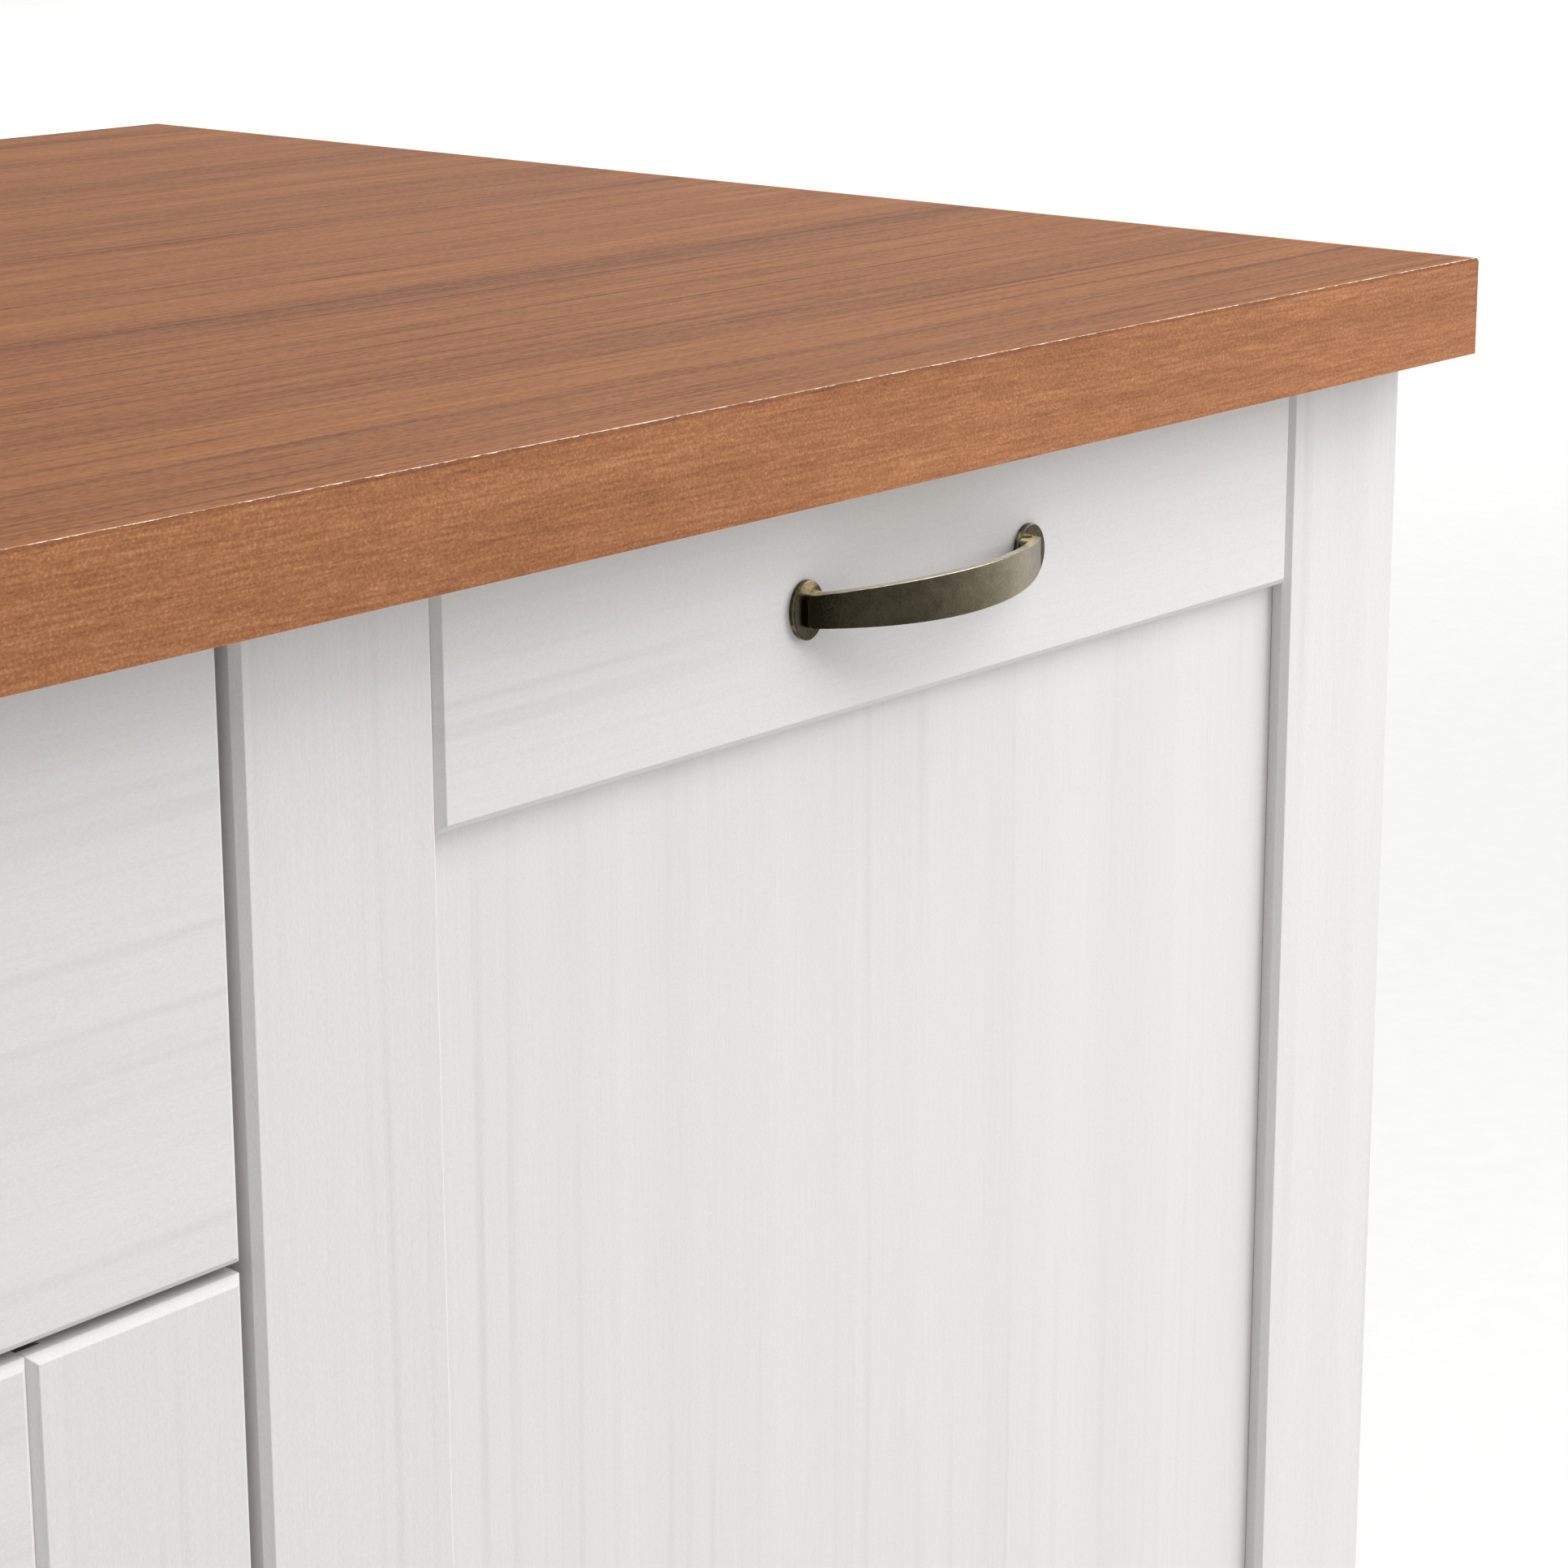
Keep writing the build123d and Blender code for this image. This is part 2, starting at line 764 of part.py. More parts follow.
def pullout_frame():
    """A pressed sheet frame with a skirt, two openings for bins and two plates for the front."""
    x0, x1 = frame_outer_x()
    y0, y1 = front_back_y, front_back_y + frame_length
    low, top = pullout_rail_height + seat_on_lip, frame_top_z()
    tray = block((x0, x1), (y0, y1), (low, top))
    hollow_x = (x0 + frame_sheet, x1 - frame_sheet)
    hollow_y = (y0 + frame_sheet, y1 - frame_sheet)
    tray -= block(hollow_x, hollow_y, (low, top - frame_sheet))
    centres, size = bin_openings()
    for y in centres.values():
        mouth = Pos((x0 + x1) / 2, y, top) * RectangleRounded(*size, frame_opening_round)
        tray -= extrude(mouth, -frame_sheet)
    for x in ((x0, x0 + front_plate_width), (x1 - front_plate_width, x1)):
        tray += block(x, (y0, y0 + frame_sheet), (low - front_plate_drop, low))
    return tray


def bin_tub(y):
    """A tapered tub that hangs by its rim in one opening of the frame."""
    x0, x1 = frame_outer_x()
    size = bin_openings()[1]
    outer = [side - 2 * bin_play for side in size]
    inner = [side - 2 * bin_wall for side in outer]
    rim = [side + 2 * bin_rim_width for side in outer]
    corner = frame_opening_round - bin_play
    place = Pos((x0 + x1) / 2, y, frame_top_z())
    body = extrude(place * RectangleRounded(*outer, corner), -bin_height, taper=bin_taper)
    lip_round = corner + bin_rim_width
    body += extrude(place * RectangleRounded(*rim, lip_round), bin_rim_thickness)
    hollow = place * RectangleRounded(*inner, corner - bin_wall)
    body -= extrude(hollow, bin_rim_thickness)
    return body - extrude(hollow, -(bin_height - bin_wall), taper=bin_taper)


# Cup hinges


def hinge_heights():
    return (front_bottom_z + hinge_end_distance, door_top_z - hinge_end_distance)


def hinge_axis():
    """The x and y of the upright line about which the door swings."""
    return left_front[0] + hinge_pin_inset, front_back_y - hinge_pin_depth


def cup_centre_x():
    return left_front[0] + cup_edge_distance + cup_radius


def cup_bores():
    radius = cup_radius + cup_fit
    depth = cup_depth + cup_fit
    return [rod(radius, (cup_centre_x(), front_back_y, z), -depth, "y") for z in hinge_heights()]


def hinge_cup(z):
    """A pressed cup in the back of the stile, with a rim and the flange that is screwed on."""
    start = (cup_centre_x(), front_back_y, z)
    cup = rod(cup_radius, start, -cup_depth, "y")
    cup += rod(cup_radius + cup_rim, start, cup_flange_thickness, "y")
    flange_x = cup_centre_x() + cup_flange_offset
    outline = Rectangle(cup_flange_width, cup_flange_length)
    flange = extrude(Plane.XZ * outline, -cup_flange_thickness)
    flange = fillet(flange.edges().filter_by(Axis.Y), cup_flange_round)
    cup += Pos(flange_x, front_back_y, z) * flange
    mouth = (cup_centre_x(), front_back_y + cup_flange_thickness, z)
    hollow = cup_depth - cup_wall + cup_flange_thickness
    cup -= rod(cup_radius - cup_wall, mouth, -hollow, "y")
    pin_x, pin_y = hinge_axis()
    ear_x = (pin_x - hinge_ear_width / 2, pin_x + hinge_ear_width / 2)
    ear_y = (front_back_y - cup_depth, pin_y + hinge_ear_width / 2)
    near = arm_neck_width / 2 + hinge_ear_gap
    for way in (-1, 1):
        ear = block(ear_x, ear_y, (z + way * near, z + way * cup_radius))
        cup += ear & rod(cup_radius - cup_wall / 2, start, -cup_depth, "y")
    pin_seat = rod(hinge_pin_radius + thread_clearance, (pin_x, pin_y, z - cup_radius), 2 * cup_radius, "z")
    return cup - pin_seat


def hinge_pin(z):
    x, y = hinge_axis()
    return rod(hinge_pin_radius, (x, y, z - hinge_pin_length / 2), hinge_pin_length, "z")


def hinge_arm(z):
    """A bent arm from its eye on the pin, out of the cup's mouth, back along the side panel."""
    pin_x, pin_y = hinge_axis()
    half = arm_thickness / 2
    elbow_x = pin_x + arm_neck_length
    seat_x = left_bay[0] + mounting_plate_thickness
    body_y = front_edge_y + mounting_plate_setback
    neck_z = (z - arm_neck_width / 2, z + arm_neck_width / 2)
    body_z = (z - arm_body_width / 2, z + arm_body_width / 2)
    eye = rod(arm_eye_radius, (pin_x, pin_y, neck_z[0]), arm_neck_width, "z")
    neck = block((pin_x, elbow_x + half), (pin_y - half, pin_y + half), neck_z)
    leg = block((elbow_x - half, elbow_x + half), (pin_y - half, body_y), neck_z)
    arm = eye + neck + leg
    outer = arm.edges().filter_by(Axis.Z).sort_by_distance((elbow_x + half, pin_y - half, z))[0]
    arm = fillet(outer, arm_bend_round)
    body_x = (seat_x, max(seat_x + arm_body_thickness, elbow_x + half))
    arm += block(body_x, (body_y - arm_thickness, body_y + arm_body_length), body_z)
    bore = hinge_pin_radius + hinge_pin_fit
    return arm - rod(bore, (pin_x, pin_y, neck_z[0]), arm_neck_width, "z")


def hinge_plate(z):
    """The cross-shaped plate on the side panel that carries the arm."""
    y0 = front_edge_y + mounting_plate_setback
    x = (left_bay[0], left_bay[0] + mounting_plate_thickness)
    half_width = mounting_plate_width / 2
    spine = block(x, (y0, y0 + mounting_plate_length), (z - half_width, z + half_width))
    wing_y = y0 + mounting_plate_length / 2
    half_wing = mounting_wing_width / 2
    wing_z = (z - mounting_wing_length / 2, z + mounting_wing_length / 2)
    wings = block(x, (wing_y - half_wing, wing_y + half_wing), wing_z)
    wings = fillet(wings.edges().filter_by(Axis.X), mounting_wing_round)
    return spine + wings


def door_bumper(z):
    """A pad on the door's back that meets the front edge of the partition."""
    middle_x = (left_bay[1] + left_front[1]) / 2
    return rod(bumper_radius, (middle_x, front_back_y, z), front_standoff - bumper_clearance, "y")


def save_carcass():
    save("side_panel_left", side_panel_left())
    save("side_panel_right", side_panel_right())
    save("partition_panel", partition_panel())
    for side, bay in (("left", left_bay), ("right", right_bay)):
        save(f"bottom_panel_{side}", bottom_panel(bay))
        save(f"back_panel_{side}", back_panel(bay))
    save("front_stretchers", group(front_stretcher(bay) for bay in (left_bay, right_bay)))
    save("rear_stretchers", group(rear_stretcher(bay) for bay in (left_bay, right_bay)))
    save("plinth_board", plinth_board())
    save("shelf", shelf())
    save("shelf_pins", shelf_pins())
    save("cam_locks", group(cam_lock(at, depth) for at, depth in all_cams()))
    save("worktop_board", worktop_board())
    save("worktop_edging", worktop_edging())
    save("worktop_screws", group(worktop_screw(x, y) for x, y in worktop_screw_places()))


def save_hinges():
    save("hinge_cups", group(hinge_cup(z) for z in hinge_heights()))
    save("hinge_pins", group(hinge_pin(z) for z in hinge_heights()))
    save("hinge_arms", group(hinge_arm(z) for z in hinge_heights()))
    save("hinge_plates", group(hinge_plate(z) for z in hinge_heights()))
    heights = (front_bottom_z + bumper_end_distance, door_top_z - bumper_end_distance)
    save("door_bumpers", group(door_bumper(z) for z in heights))


def main():
    os.makedirs("parts", exist_ok=True)
    upper_handle_z = front_top_z - handle_drop
    save_carcass()
    save_runners("drawer", left_bay, drawer_rail_height)
    save_runners("pullout", right_bay, pullout_rail_height)
    save("cabinet_rail_rivets", group(cabinet_rail_rivets()))
    save_drawer(upper_handle_z)
    door_z = (front_bottom_z, door_top_z)
    save_framed_front("door", left_front, door_z, door_top_z - handle_drop, cup_bores())
    save_hinges()
    save_framed_front("pullout", right_front, (front_bottom_z, front_top_z), upper_handle_z)
    save("pullout_frame", pullout_frame())
    for place, y in bin_openings()[0].items():
        save(f"bin_{place}", bin_tub(y))


main()
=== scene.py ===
import json
import math

import bpy
from bpy.props import FloatProperty, PointerProperty, StringProperty
from mathutils import Matrix, Vector


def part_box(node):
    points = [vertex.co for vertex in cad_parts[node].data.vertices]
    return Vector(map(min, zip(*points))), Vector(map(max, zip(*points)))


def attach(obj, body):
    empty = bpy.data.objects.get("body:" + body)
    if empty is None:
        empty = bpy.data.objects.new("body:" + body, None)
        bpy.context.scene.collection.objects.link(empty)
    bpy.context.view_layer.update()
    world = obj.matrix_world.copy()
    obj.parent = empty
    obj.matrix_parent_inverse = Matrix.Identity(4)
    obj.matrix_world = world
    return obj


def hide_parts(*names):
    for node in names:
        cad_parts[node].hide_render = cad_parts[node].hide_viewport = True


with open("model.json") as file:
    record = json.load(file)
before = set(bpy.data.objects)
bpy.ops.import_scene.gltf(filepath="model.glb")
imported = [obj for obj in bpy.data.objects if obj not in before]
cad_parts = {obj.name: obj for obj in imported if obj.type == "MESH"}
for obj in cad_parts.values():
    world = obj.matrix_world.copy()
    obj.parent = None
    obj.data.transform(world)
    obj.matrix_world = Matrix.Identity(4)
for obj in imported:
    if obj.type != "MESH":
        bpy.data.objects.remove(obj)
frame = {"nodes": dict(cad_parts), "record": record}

bl_info = {
    "name": "Kitchen Base Cabinet",
    "version": (1, 0, 0),
    "blender": (4, 5, 0),
    "location": "View3D > Sidebar > Cabinet",
    "description": "Finishes a two-bay base cabinet: worktop, framed fronts, handles and fittings",
    "category": "Object",
}

MM = 0.001
FRONTS = ("door", "pullout")
FRAME_MEMBERS = ("stile_left", "stile_right", "rail_top", "rail_bottom", "panel")
HANDLES = {"drawer_handle": "drawer", "door_handle": "door", "pullout_handle": "pullout"}

# points closer together than this count as being in one place
NEAR = 0.1 * MM

# the fronts: how far behind the face the foil rounds the edges, and the shortest edge that it does
FOIL_REACH = 2.5 * MM
FOIL_SHORTEST = 3 * MM

# the handles: cuts along the bowed strap, the parts' roundings, and how far a foot goes each way
STRAP_CUTS = 71
CORNER_ROUND = 1.6 * MM
END_ROUND = 1.0 * MM
STRAP_ROUND = 0.75 * MM
PLATE_ROUND = 0.25 * MM
FOOT_ROUND = 0.5 * MM
FOOT_INWARD = 5 * MM
FOOT_OUTWARD = 1.4 * MM

# screws: the radius and height of a head and the length of its recess
PAN_HEAD = (3.4 * MM, 1.4 * MM, 3.6 * MM)
FLAT_HEAD = (3.6 * MM, 1.0 * MM, 3.4 * MM)
# where they sit, measured in from the ends of the boxes of the pieces that they hold
CUP_SCREWS_IN = 8.5 * MM
CUP_SCREWS = (7 * MM, 55 * MM)
PLATE_SCREWS = (6 * MM, 46 * MM)
ARM_SCREWS_UP = 6 * MM
ARM_SCREWS_IN = (12 * MM, 38 * MM)
RAIL_WEB = 1.2 * MM
RAIL_SCREWS_APART = 180 * MM
FRAME_PLATE = 2 * MM
FRAME_SCREWS_IN = 17.5 * MM
FRAME_SCREWS_UP = (25 * MM, 100 * MM, 175 * MM)

# moulded plastics by slot: name, dark and light tone, roughness and width of the texture in mm
PLASTICS = {
    "roller_plastic": ("Moulded nylon, matt white", "D0CFCB", "E2E1DD", 0.5, 0.6),
    "bin_plastic": ("Moulded polypropylene, grey", "585C60", "666A6F", 0.5, 1.1),
    "soft_rubber": ("Soft polyurethane pad", "BEBEBC", "CFCFCD", 0.35, 1.5),
}

FLOOR_RADIUS = 60.0


# Sizes and colours that a user would change


class CabinetFinish(bpy.types.PropertyGroup):
    foil_white: StringProperty(
        name="Foil", description="Light tone of the fronts' white foil, sRGB hex", default="DDDBDA"
    )
    foil_grain: StringProperty(
        name="Foil grain", description="Darker tone of the foil's grain, sRGB hex", default="C9C7C6"
    )
    board_white: StringProperty(
        name="Board", description="White of the carcass boards, sRGB hex", default="D2D1CE"
    )
    top_mid: StringProperty(
        name="Worktop", description="Middle tone of the worktop, sRGB hex", default="774A2A"
    )
    top_dark: StringProperty(
        name="Worktop dark", description="Dark streaks of the worktop, sRGB hex", default="58331F"
    )
    top_light: StringProperty(
        name="Worktop light", description="Light streaks of the worktop, sRGB hex", default="8F5B32"
    )
    edge_mid: StringProperty(
        name="Edging", description="Middle tone of the worktop's edging, sRGB hex", default="9E6741"
    )
    edge_dark: StringProperty(
        name="Edging dark", default="794A2E",
        description="Dark fibres of the worktop's edging, sRGB hex",
    )
    edge_light: StringProperty(
        name="Edging light", default="C28D62",
        description="Light flecks of the worktop's edging, sRGB hex",
    )
    bronze_dark: StringProperty(
        name="Bronze dark", description="Dark patina of the handles, sRGB hex", default="4E4735"
    )
    bronze_mid: StringProperty(
        name="Bronze", description="Middle tone of the handles' patina, sRGB hex", default="B9AE90"
    )
    # the pale metal colour, used for rubbed edges and for the painted glint along the handles' top
    # edges
    bronze_worn_and_glint: StringProperty(
        name="Bronze worn", default="F0E8D2",
        description="Brightest worn edges of the handles, sRGB hex",
    )
    edge_softness: FloatProperty(
        name="Edge softness", default=0.2 * MM, min=0.0, unit="LENGTH",
        description="Radius of the fronts' foil over an edge",
    )


class HandleSizes(bpy.types.PropertyGroup):
    span: FloatProperty(
        name="Span", default=88 * MM, unit="LENGTH",
        description="Distance between the handle's two feet",
    )
    bow_radius: FloatProperty(
        name="Bow radius", default=79 * MM, unit="LENGTH",
        description="Radius of the strap's outer face",
    )
    rise: FloatProperty(
        name="Rise", default=18 * MM, unit="LENGTH",
        description="How far the strap stands out of the front",
    )
    half_length: FloatProperty(
        name="Half length", default=46 * MM, unit="LENGTH",
        description="From the middle to the strap's end",
    )
    thickness: FloatProperty(
        name="Thickness", description="Thickness of the strap", default=2.4 * MM, unit="LENGTH"
    )
    mid_height: FloatProperty(
        name="Middle height", default=11.4 * MM, unit="LENGTH",
        description="Height of the strap at its middle",
    )
    end_height: FloatProperty(
        name="End height", default=8.2 * MM, unit="LENGTH",
        description="Height of the strap at its ends",
    )
    plate_width: FloatProperty(
        name="Plate width", default=11.4 * MM, unit="LENGTH",
        description="Width of an oval backplate",
    )
    plate_height: FloatProperty(
        name="Plate height", default=15 * MM, unit="LENGTH",
        description="Height of an oval backplate",
    )
    plate_thickness: FloatProperty(
        name="Plate thickness", default=1.7 * MM, unit="LENGTH",
        description="Thickness of a backplate",
    )


class StudioLight(bpy.types.PropertyGroup):
    floor: StringProperty(
        name="Floor", description="Colour of the studio floor, sRGB hex", default="C8C8C7"
    )
    top_power: FloatProperty(
        name="Top light", description="Strength of the soft light from above", default=3.7, min=0.0
    )
    key_power: FloatProperty(
        name="Key light", default=25.8, min=0.0,
        description="Power of the softbox at the front right",
    )
    far_power: FloatProperty(
        name="Far light", default=510.0, min=0.0,
        description="Power of the softbox over the floor behind",
    )


# Small tools


def linear(code):
    """An sRGB hex colour as linear red, green, blue and alpha."""
    parts = [int(code[i : i + 2], 16) / 255 for i in (0, 2, 4)]
    return [c / 12.92 if c <= 0.04045 else ((c + 0.055) / 1.055) ** 2.4 for c in parts] + [1.0]


def add(tree, kind, inputs=(), stops=(), **settings):
    """Adds a node with its settings and links.

    Inputs are named, or given in their order. A node or a socket is linked, any other value is set.
    Stops are a colour ramp's, each a position and an sRGB hex colour.
    """
    node = tree.nodes.new("ShaderNode" + kind)
    for key, value in settings.items():
        setattr(node, key, value)
    in_use = [socket for socket in node.inputs if socket.enabled]
    if isinstance(inputs, dict):
        names = [socket.name for socket in in_use]
        in_use = [in_use[names.index(name)] for name in inputs]
        inputs = inputs.values()
    for target, value in zip(in_use, inputs):
        if isinstance(value, bpy.types.Node):
            value = next(socket for socket in value.outputs if socket.enabled)
        if isinstance(value, bpy.types.NodeSocket):
            tree.links.new(value, target)
        else:
            target.default_value = value
    for index, (position, code) in enumerate(stops):
        band = node.color_ramp.elements
        element = band[index] if index < len(band) else band.new(position)
        element.position = position
        element.color = linear(code)
    return node


def new_material(name):
    """An empty node material, its tree, and the object coordinates that its patterns start from."""
    material = bpy.data.materials.new(name)
    material.use_nodes = True
    tree = material.node_tree
    tree.nodes.clear()
    return material, tree, add(tree, "TexCoord").outputs["Object"]


def waves(x_mm, y_mm, z_mm):
    """Cycles per metre along the axes, for a pattern whose waves are so many mm long."""
    return (1000 / x_mm, 1000 / y_mm, 1000 / z_mm)


def along(grain, fine_mm, long_mm):
    """Cycles per metre for a pattern that is long on the grain's axis and fine across it."""
    return waves(*(long_mm if axis == grain else fine_mm for axis in "XYZ"))


def wandering(tree, where, grain, across, shift, reach_mm, long_mm, wide_mm):
    """The position across the grain, pushed aside by a slow noise so that lines on it wander."""
    place = add(tree, "SeparateXYZ", {"Vector": where}).outputs[across]
    slow = add(
        tree,
        "Mapping",
        {"Vector": where, "Scale": along(grain, wide_mm, long_mm), "Location": shift},
    )
    slow = add(tree, "TexNoise", {"Vector": slow, "Scale": 1.0})
    slow = add(tree, "Math", (slow, 0.5), operation="SUBTRACT")
    return add(tree, "Math", (slow, 2 * reach_mm * MM, place), operation="MULTIPLY_ADD")


def lines(tree, position, spacing_mm, offset, detail=2.0):
    """Unbroken lines about spacing_mm apart, drawn on a wandering position."""
    cycles = add(tree, "Math", (position, 1000 / spacing_mm, offset), operation="MULTIPLY_ADD")
    return add(
        tree, "TexNoise", {"W": cycles, "Scale": 1.0, "Detail": detail}, noise_dimensions="1D"
    )


def layered(tree, *layers):
    """Adds up layers: each is a node, the range taken of it and the range that this becomes."""
    total = add(tree, "MapRange", layers[0])
    for layer in layers[1:]:
        total = add(tree, "Math", (total, add(tree, "MapRange", layer)), operation="ADD")
    return total


# Materials


def foil_material(name, grain, finish, shift):
    """White PVC foil with a printed ash grain, pressed over fibreboard: matt, with fine pores."""
    material, tree, where = new_material(name)
    across = "X" if grain == "Z" else "Z"
    # growth lines some 5 mm apart that wander by up to 9 mm and fade in places, over a broad figure
    position = wandering(tree, where, grain, across, shift, 9, 620, 130)
    figure = lines(tree, position, 30, shift[1] + 3.7)
    growth = add(tree, "MapRange", (lines(tree, position, 5.5, shift[0], 1.5), 0.52, 0.8))
    fade = add(
        tree, "Mapping", {"Vector": where, "Scale": along(grain, 40, 260), "Location": shift}
    )
    fade = add(tree, "TexNoise", {"Vector": fade, "Scale": 1.0})
    fade = add(tree, "MapRange", (fade, 0.4, 0.62))
    growth = add(tree, "Math", (growth, fade), operation="MULTIPLY")
    # the foil's pores are 0.2 mm wide, and are drawn 0.8 mm and 0.45 mm wide to show
    fibre = add(
        tree, "Mapping", {"Vector": where, "Scale": along(grain, 0.8, 26), "Location": shift}
    )
    fibre = add(tree, "TexNoise", {"Vector": fibre, "Scale": 1.0, "Detail": 3.0, "Roughness": 0.6})
    speckle = add(tree, "Mapping", {"Vector": where, "Scale": along(grain, 0.45, 0.9)})
    speckle = add(tree, "TexNoise", {"Vector": speckle, "Scale": 1.0, "Detail": 1.0})
    tone = layered(
        tree,
        (figure, 0.3, 0.7, 0.52, 0.68),
        (growth, 0.0, 1.0, 0.0, -0.36),
        (fibre, 0.3, 0.7, -0.07, 0.07),
        (speckle, 0.3, 0.7, -0.13, 0.13),
    )
    stops = ((0.0, finish.foil_grain), (0.9, finish.foil_white))
    height = add(tree, "Math", (speckle, 0.7, fibre), operation="MULTIPLY_ADD")
    surface = {
        "Base Color": add(tree, "ValToRGB", (tone,), stops),
        "Roughness": add(tree, "MapRange", (fibre, 0.3, 0.7, 0.62, 0.52)),
        "Specular IOR Level": 0.35,
        "Normal": add(tree, "Bump", {"Height": height, "Distance": 0.018 * MM}),
    }
    add(tree, "OutputMaterial", {"Surface": add(tree, "BsdfPrincipled", surface)})
    return material


def worktop_material(finish):
    """Cherry-print laminate, pressed with a satin texture: long stripes and lines, fine pores."""
    material, tree, where = new_material("Cherry laminate, satin")
    # bands some 44 mm and 14 mm wide, with dark lines some 3 mm apart that come in groups and
    # fade, and hairlines under 2 mm apart; all run along X and wander together by up to 14 mm
    position = wandering(tree, where, "X", "Y", (0.4, 0.2, 0), 14, 800, 150)
    broad = lines(tree, position, 44, 2.3)
    middle = lines(tree, position, 14, 7.9)
    hair = lines(tree, position, 1.6, 4.2, 3.0)
    dark = add(tree, "MapRange", (lines(tree, position, 2.7, 11.4, 1.0), 0.58, 0.7))
    fade = add(
        tree, "Mapping", {"Vector": where, "Scale": along("X", 30, 260), "Location": (5.2, 1.1, 0)}
    )
    fade = add(tree, "TexNoise", {"Vector": fade, "Scale": 1.0})
    dark = add(tree, "Math", (dark, add(tree, "MapRange", (fade, 0.4, 0.62))), operation="MULTIPLY")
    streaks = add(
        tree, "Mapping", {"Vector": where, "Scale": along("X", 2.0, 70), "Location": (9.2, 1.7, 0)}
    )
    streaks = add(
        tree,
        "TexNoise",
        {"Vector": streaks, "Scale": 1.0, "Detail": 4.0, "Roughness": 0.6, "Distortion": 0.1},
    )
    # the pores are 0.3 mm wide, and are drawn 0.7 mm wide to show
    pores = add(tree, "Mapping", {"Vector": where, "Scale": along("X", 0.7, 2.2)})
    pores = add(tree, "TexNoise", {"Vector": pores, "Scale": 1.0, "Roughness": 0.6})
    tone = layered(
        tree,
        (broad, 0.3, 0.7, 0.0, 0.3),
        (middle, 0.3, 0.7, 0.0, 0.26),
        (hair, 0.3, 0.7, -0.1, 0.3),
        (streaks, 0.25, 0.75, -0.06, 0.34),
        (pores, 0.3, 0.7, -0.28, 0.28),
        (dark, 0.0, 1.0, 0.0, -0.5),
    )
    stops = ((0.0, finish.top_dark), (0.42, finish.top_mid), (0.9, finish.top_light))
    colour = add(tree, "ValToRGB", (tone,), stops)
    # the underside is plain balancing paper, and the sawn back edge shows the board's pressed chips
    place = add(tree, "SeparateXYZ", {"Vector": where})
    low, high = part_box("worktop_board")
    under = add(tree, "Math", (place.outputs["Z"], low.z + 0.5 * MM), operation="LESS_THAN")
    paper = add(tree, "ValToRGB", (streaks,), ((0.3, "8F806B"), (0.7, "A19179")))
    colour = add(tree, "Mix", (under, colour, paper), data_type="RGBA")
    rear = add(tree, "Math", (place.outputs["Y"], high.y - 0.3 * MM), operation="GREATER_THAN")
    chips = add(tree, "Mapping", {"Vector": where, "Scale": waves(5, 5, 1.3)})
    chips = add(
        tree,
        "TexNoise",
        {"Vector": chips, "Scale": 1.0, "Detail": 3.0, "Roughness": 0.7, "Distortion": 0.6},
    )
    chips = add(tree, "ValToRGB", (chips,), ((0.32, "7E6445"), (0.5, "AD8E63"), (0.68, "CBB085")))
    colour = add(tree, "Mix", (rear, colour, chips), data_type="RGBA")
    height = layered(tree, (streaks, 0.0, 1.0, 0.0, 0.6), (pores, 0.0, 1.0, 0.0, -1.0))
    surface = {
        "Base Color": colour,
        "Roughness": add(tree, "MapRange", (streaks, 0.3, 0.7, 0.6, 0.5)),
        "Specular IOR Level": 0.06,
        "Normal": add(tree, "Bump", {"Height": height, "Distance": 0.045 * MM}),
    }
    add(tree, "OutputMaterial", {"Surface": add(tree, "BsdfPrincipled", surface)})
    return material


def edging_print(tree, where, tones):
    """The edging's print: fine fibres along X and Y, mottled below 1 mm, with pale flecks."""
    fibres = add(tree, "Mapping", {"Vector": where, "Scale": waves(15, 15, 0.7)})
    fibres = add(
        tree,
        "TexNoise",
        {"Vector": fibres, "Scale": 1.0, "Detail": 3.0, "Roughness": 0.6, "Distortion": 0.3},
    )
    mottle = add(tree, "Mapping", {"Vector": where, "Scale": waves(0.8, 0.8, 0.7)})
    mottle = add(
        tree, "TexNoise", {"Vector": mottle, "Scale": 1.0, "Detail": 1.5, "Roughness": 0.6}
    )
    flecks = add(tree, "TexNoise", {"Vector": where, "Scale": 1000 / 0.6, "Detail": 1.0})
    drift = add(tree, "Mapping", {"Vector": where, "Scale": waves(150, 150, 7)})
    drift = add(tree, "TexNoise", {"Vector": drift, "Scale": 1.0, "Distortion": 0.4})
    tone = layered(
        tree,
        (fibres, 0.28, 0.72, 0.04, 0.38),
        (mottle, 0.3, 0.7, 0.02, 0.3),
        (drift, 0.3, 0.7, 0.02, 0.18),
        (flecks, 0.6, 0.75, 0.0, 0.2),
    )
    dark, middle, light = tones
    colour = add(tree, "ValToRGB", (tone,), ((0.15, dark), (0.52, middle), (0.95, light)))
    return colour, add(tree, "Math", (fibres, mottle), operation="ADD")


def edging_material(finish):
    """Cherry-print ABS edging, extruded: short mottled fibres, more orange than the top."""
    material, tree, where = new_material("Cherry edging, satin")
    tones = (finish.edge_dark, finish.edge_mid, finish.edge_light)
    colour, height = edging_print(tree, where, tones)
    surface = {
        "Base Color": colour,
        "Roughness": 0.5,
        "Specular IOR Level": 0.2,
        "Normal": add(tree, "Bump", {"Height": height, "Distance": 0.03 * MM}),
    }
    add(tree, "OutputMaterial", {"Surface": add(tree, "BsdfPrincipled", surface)})
    return material


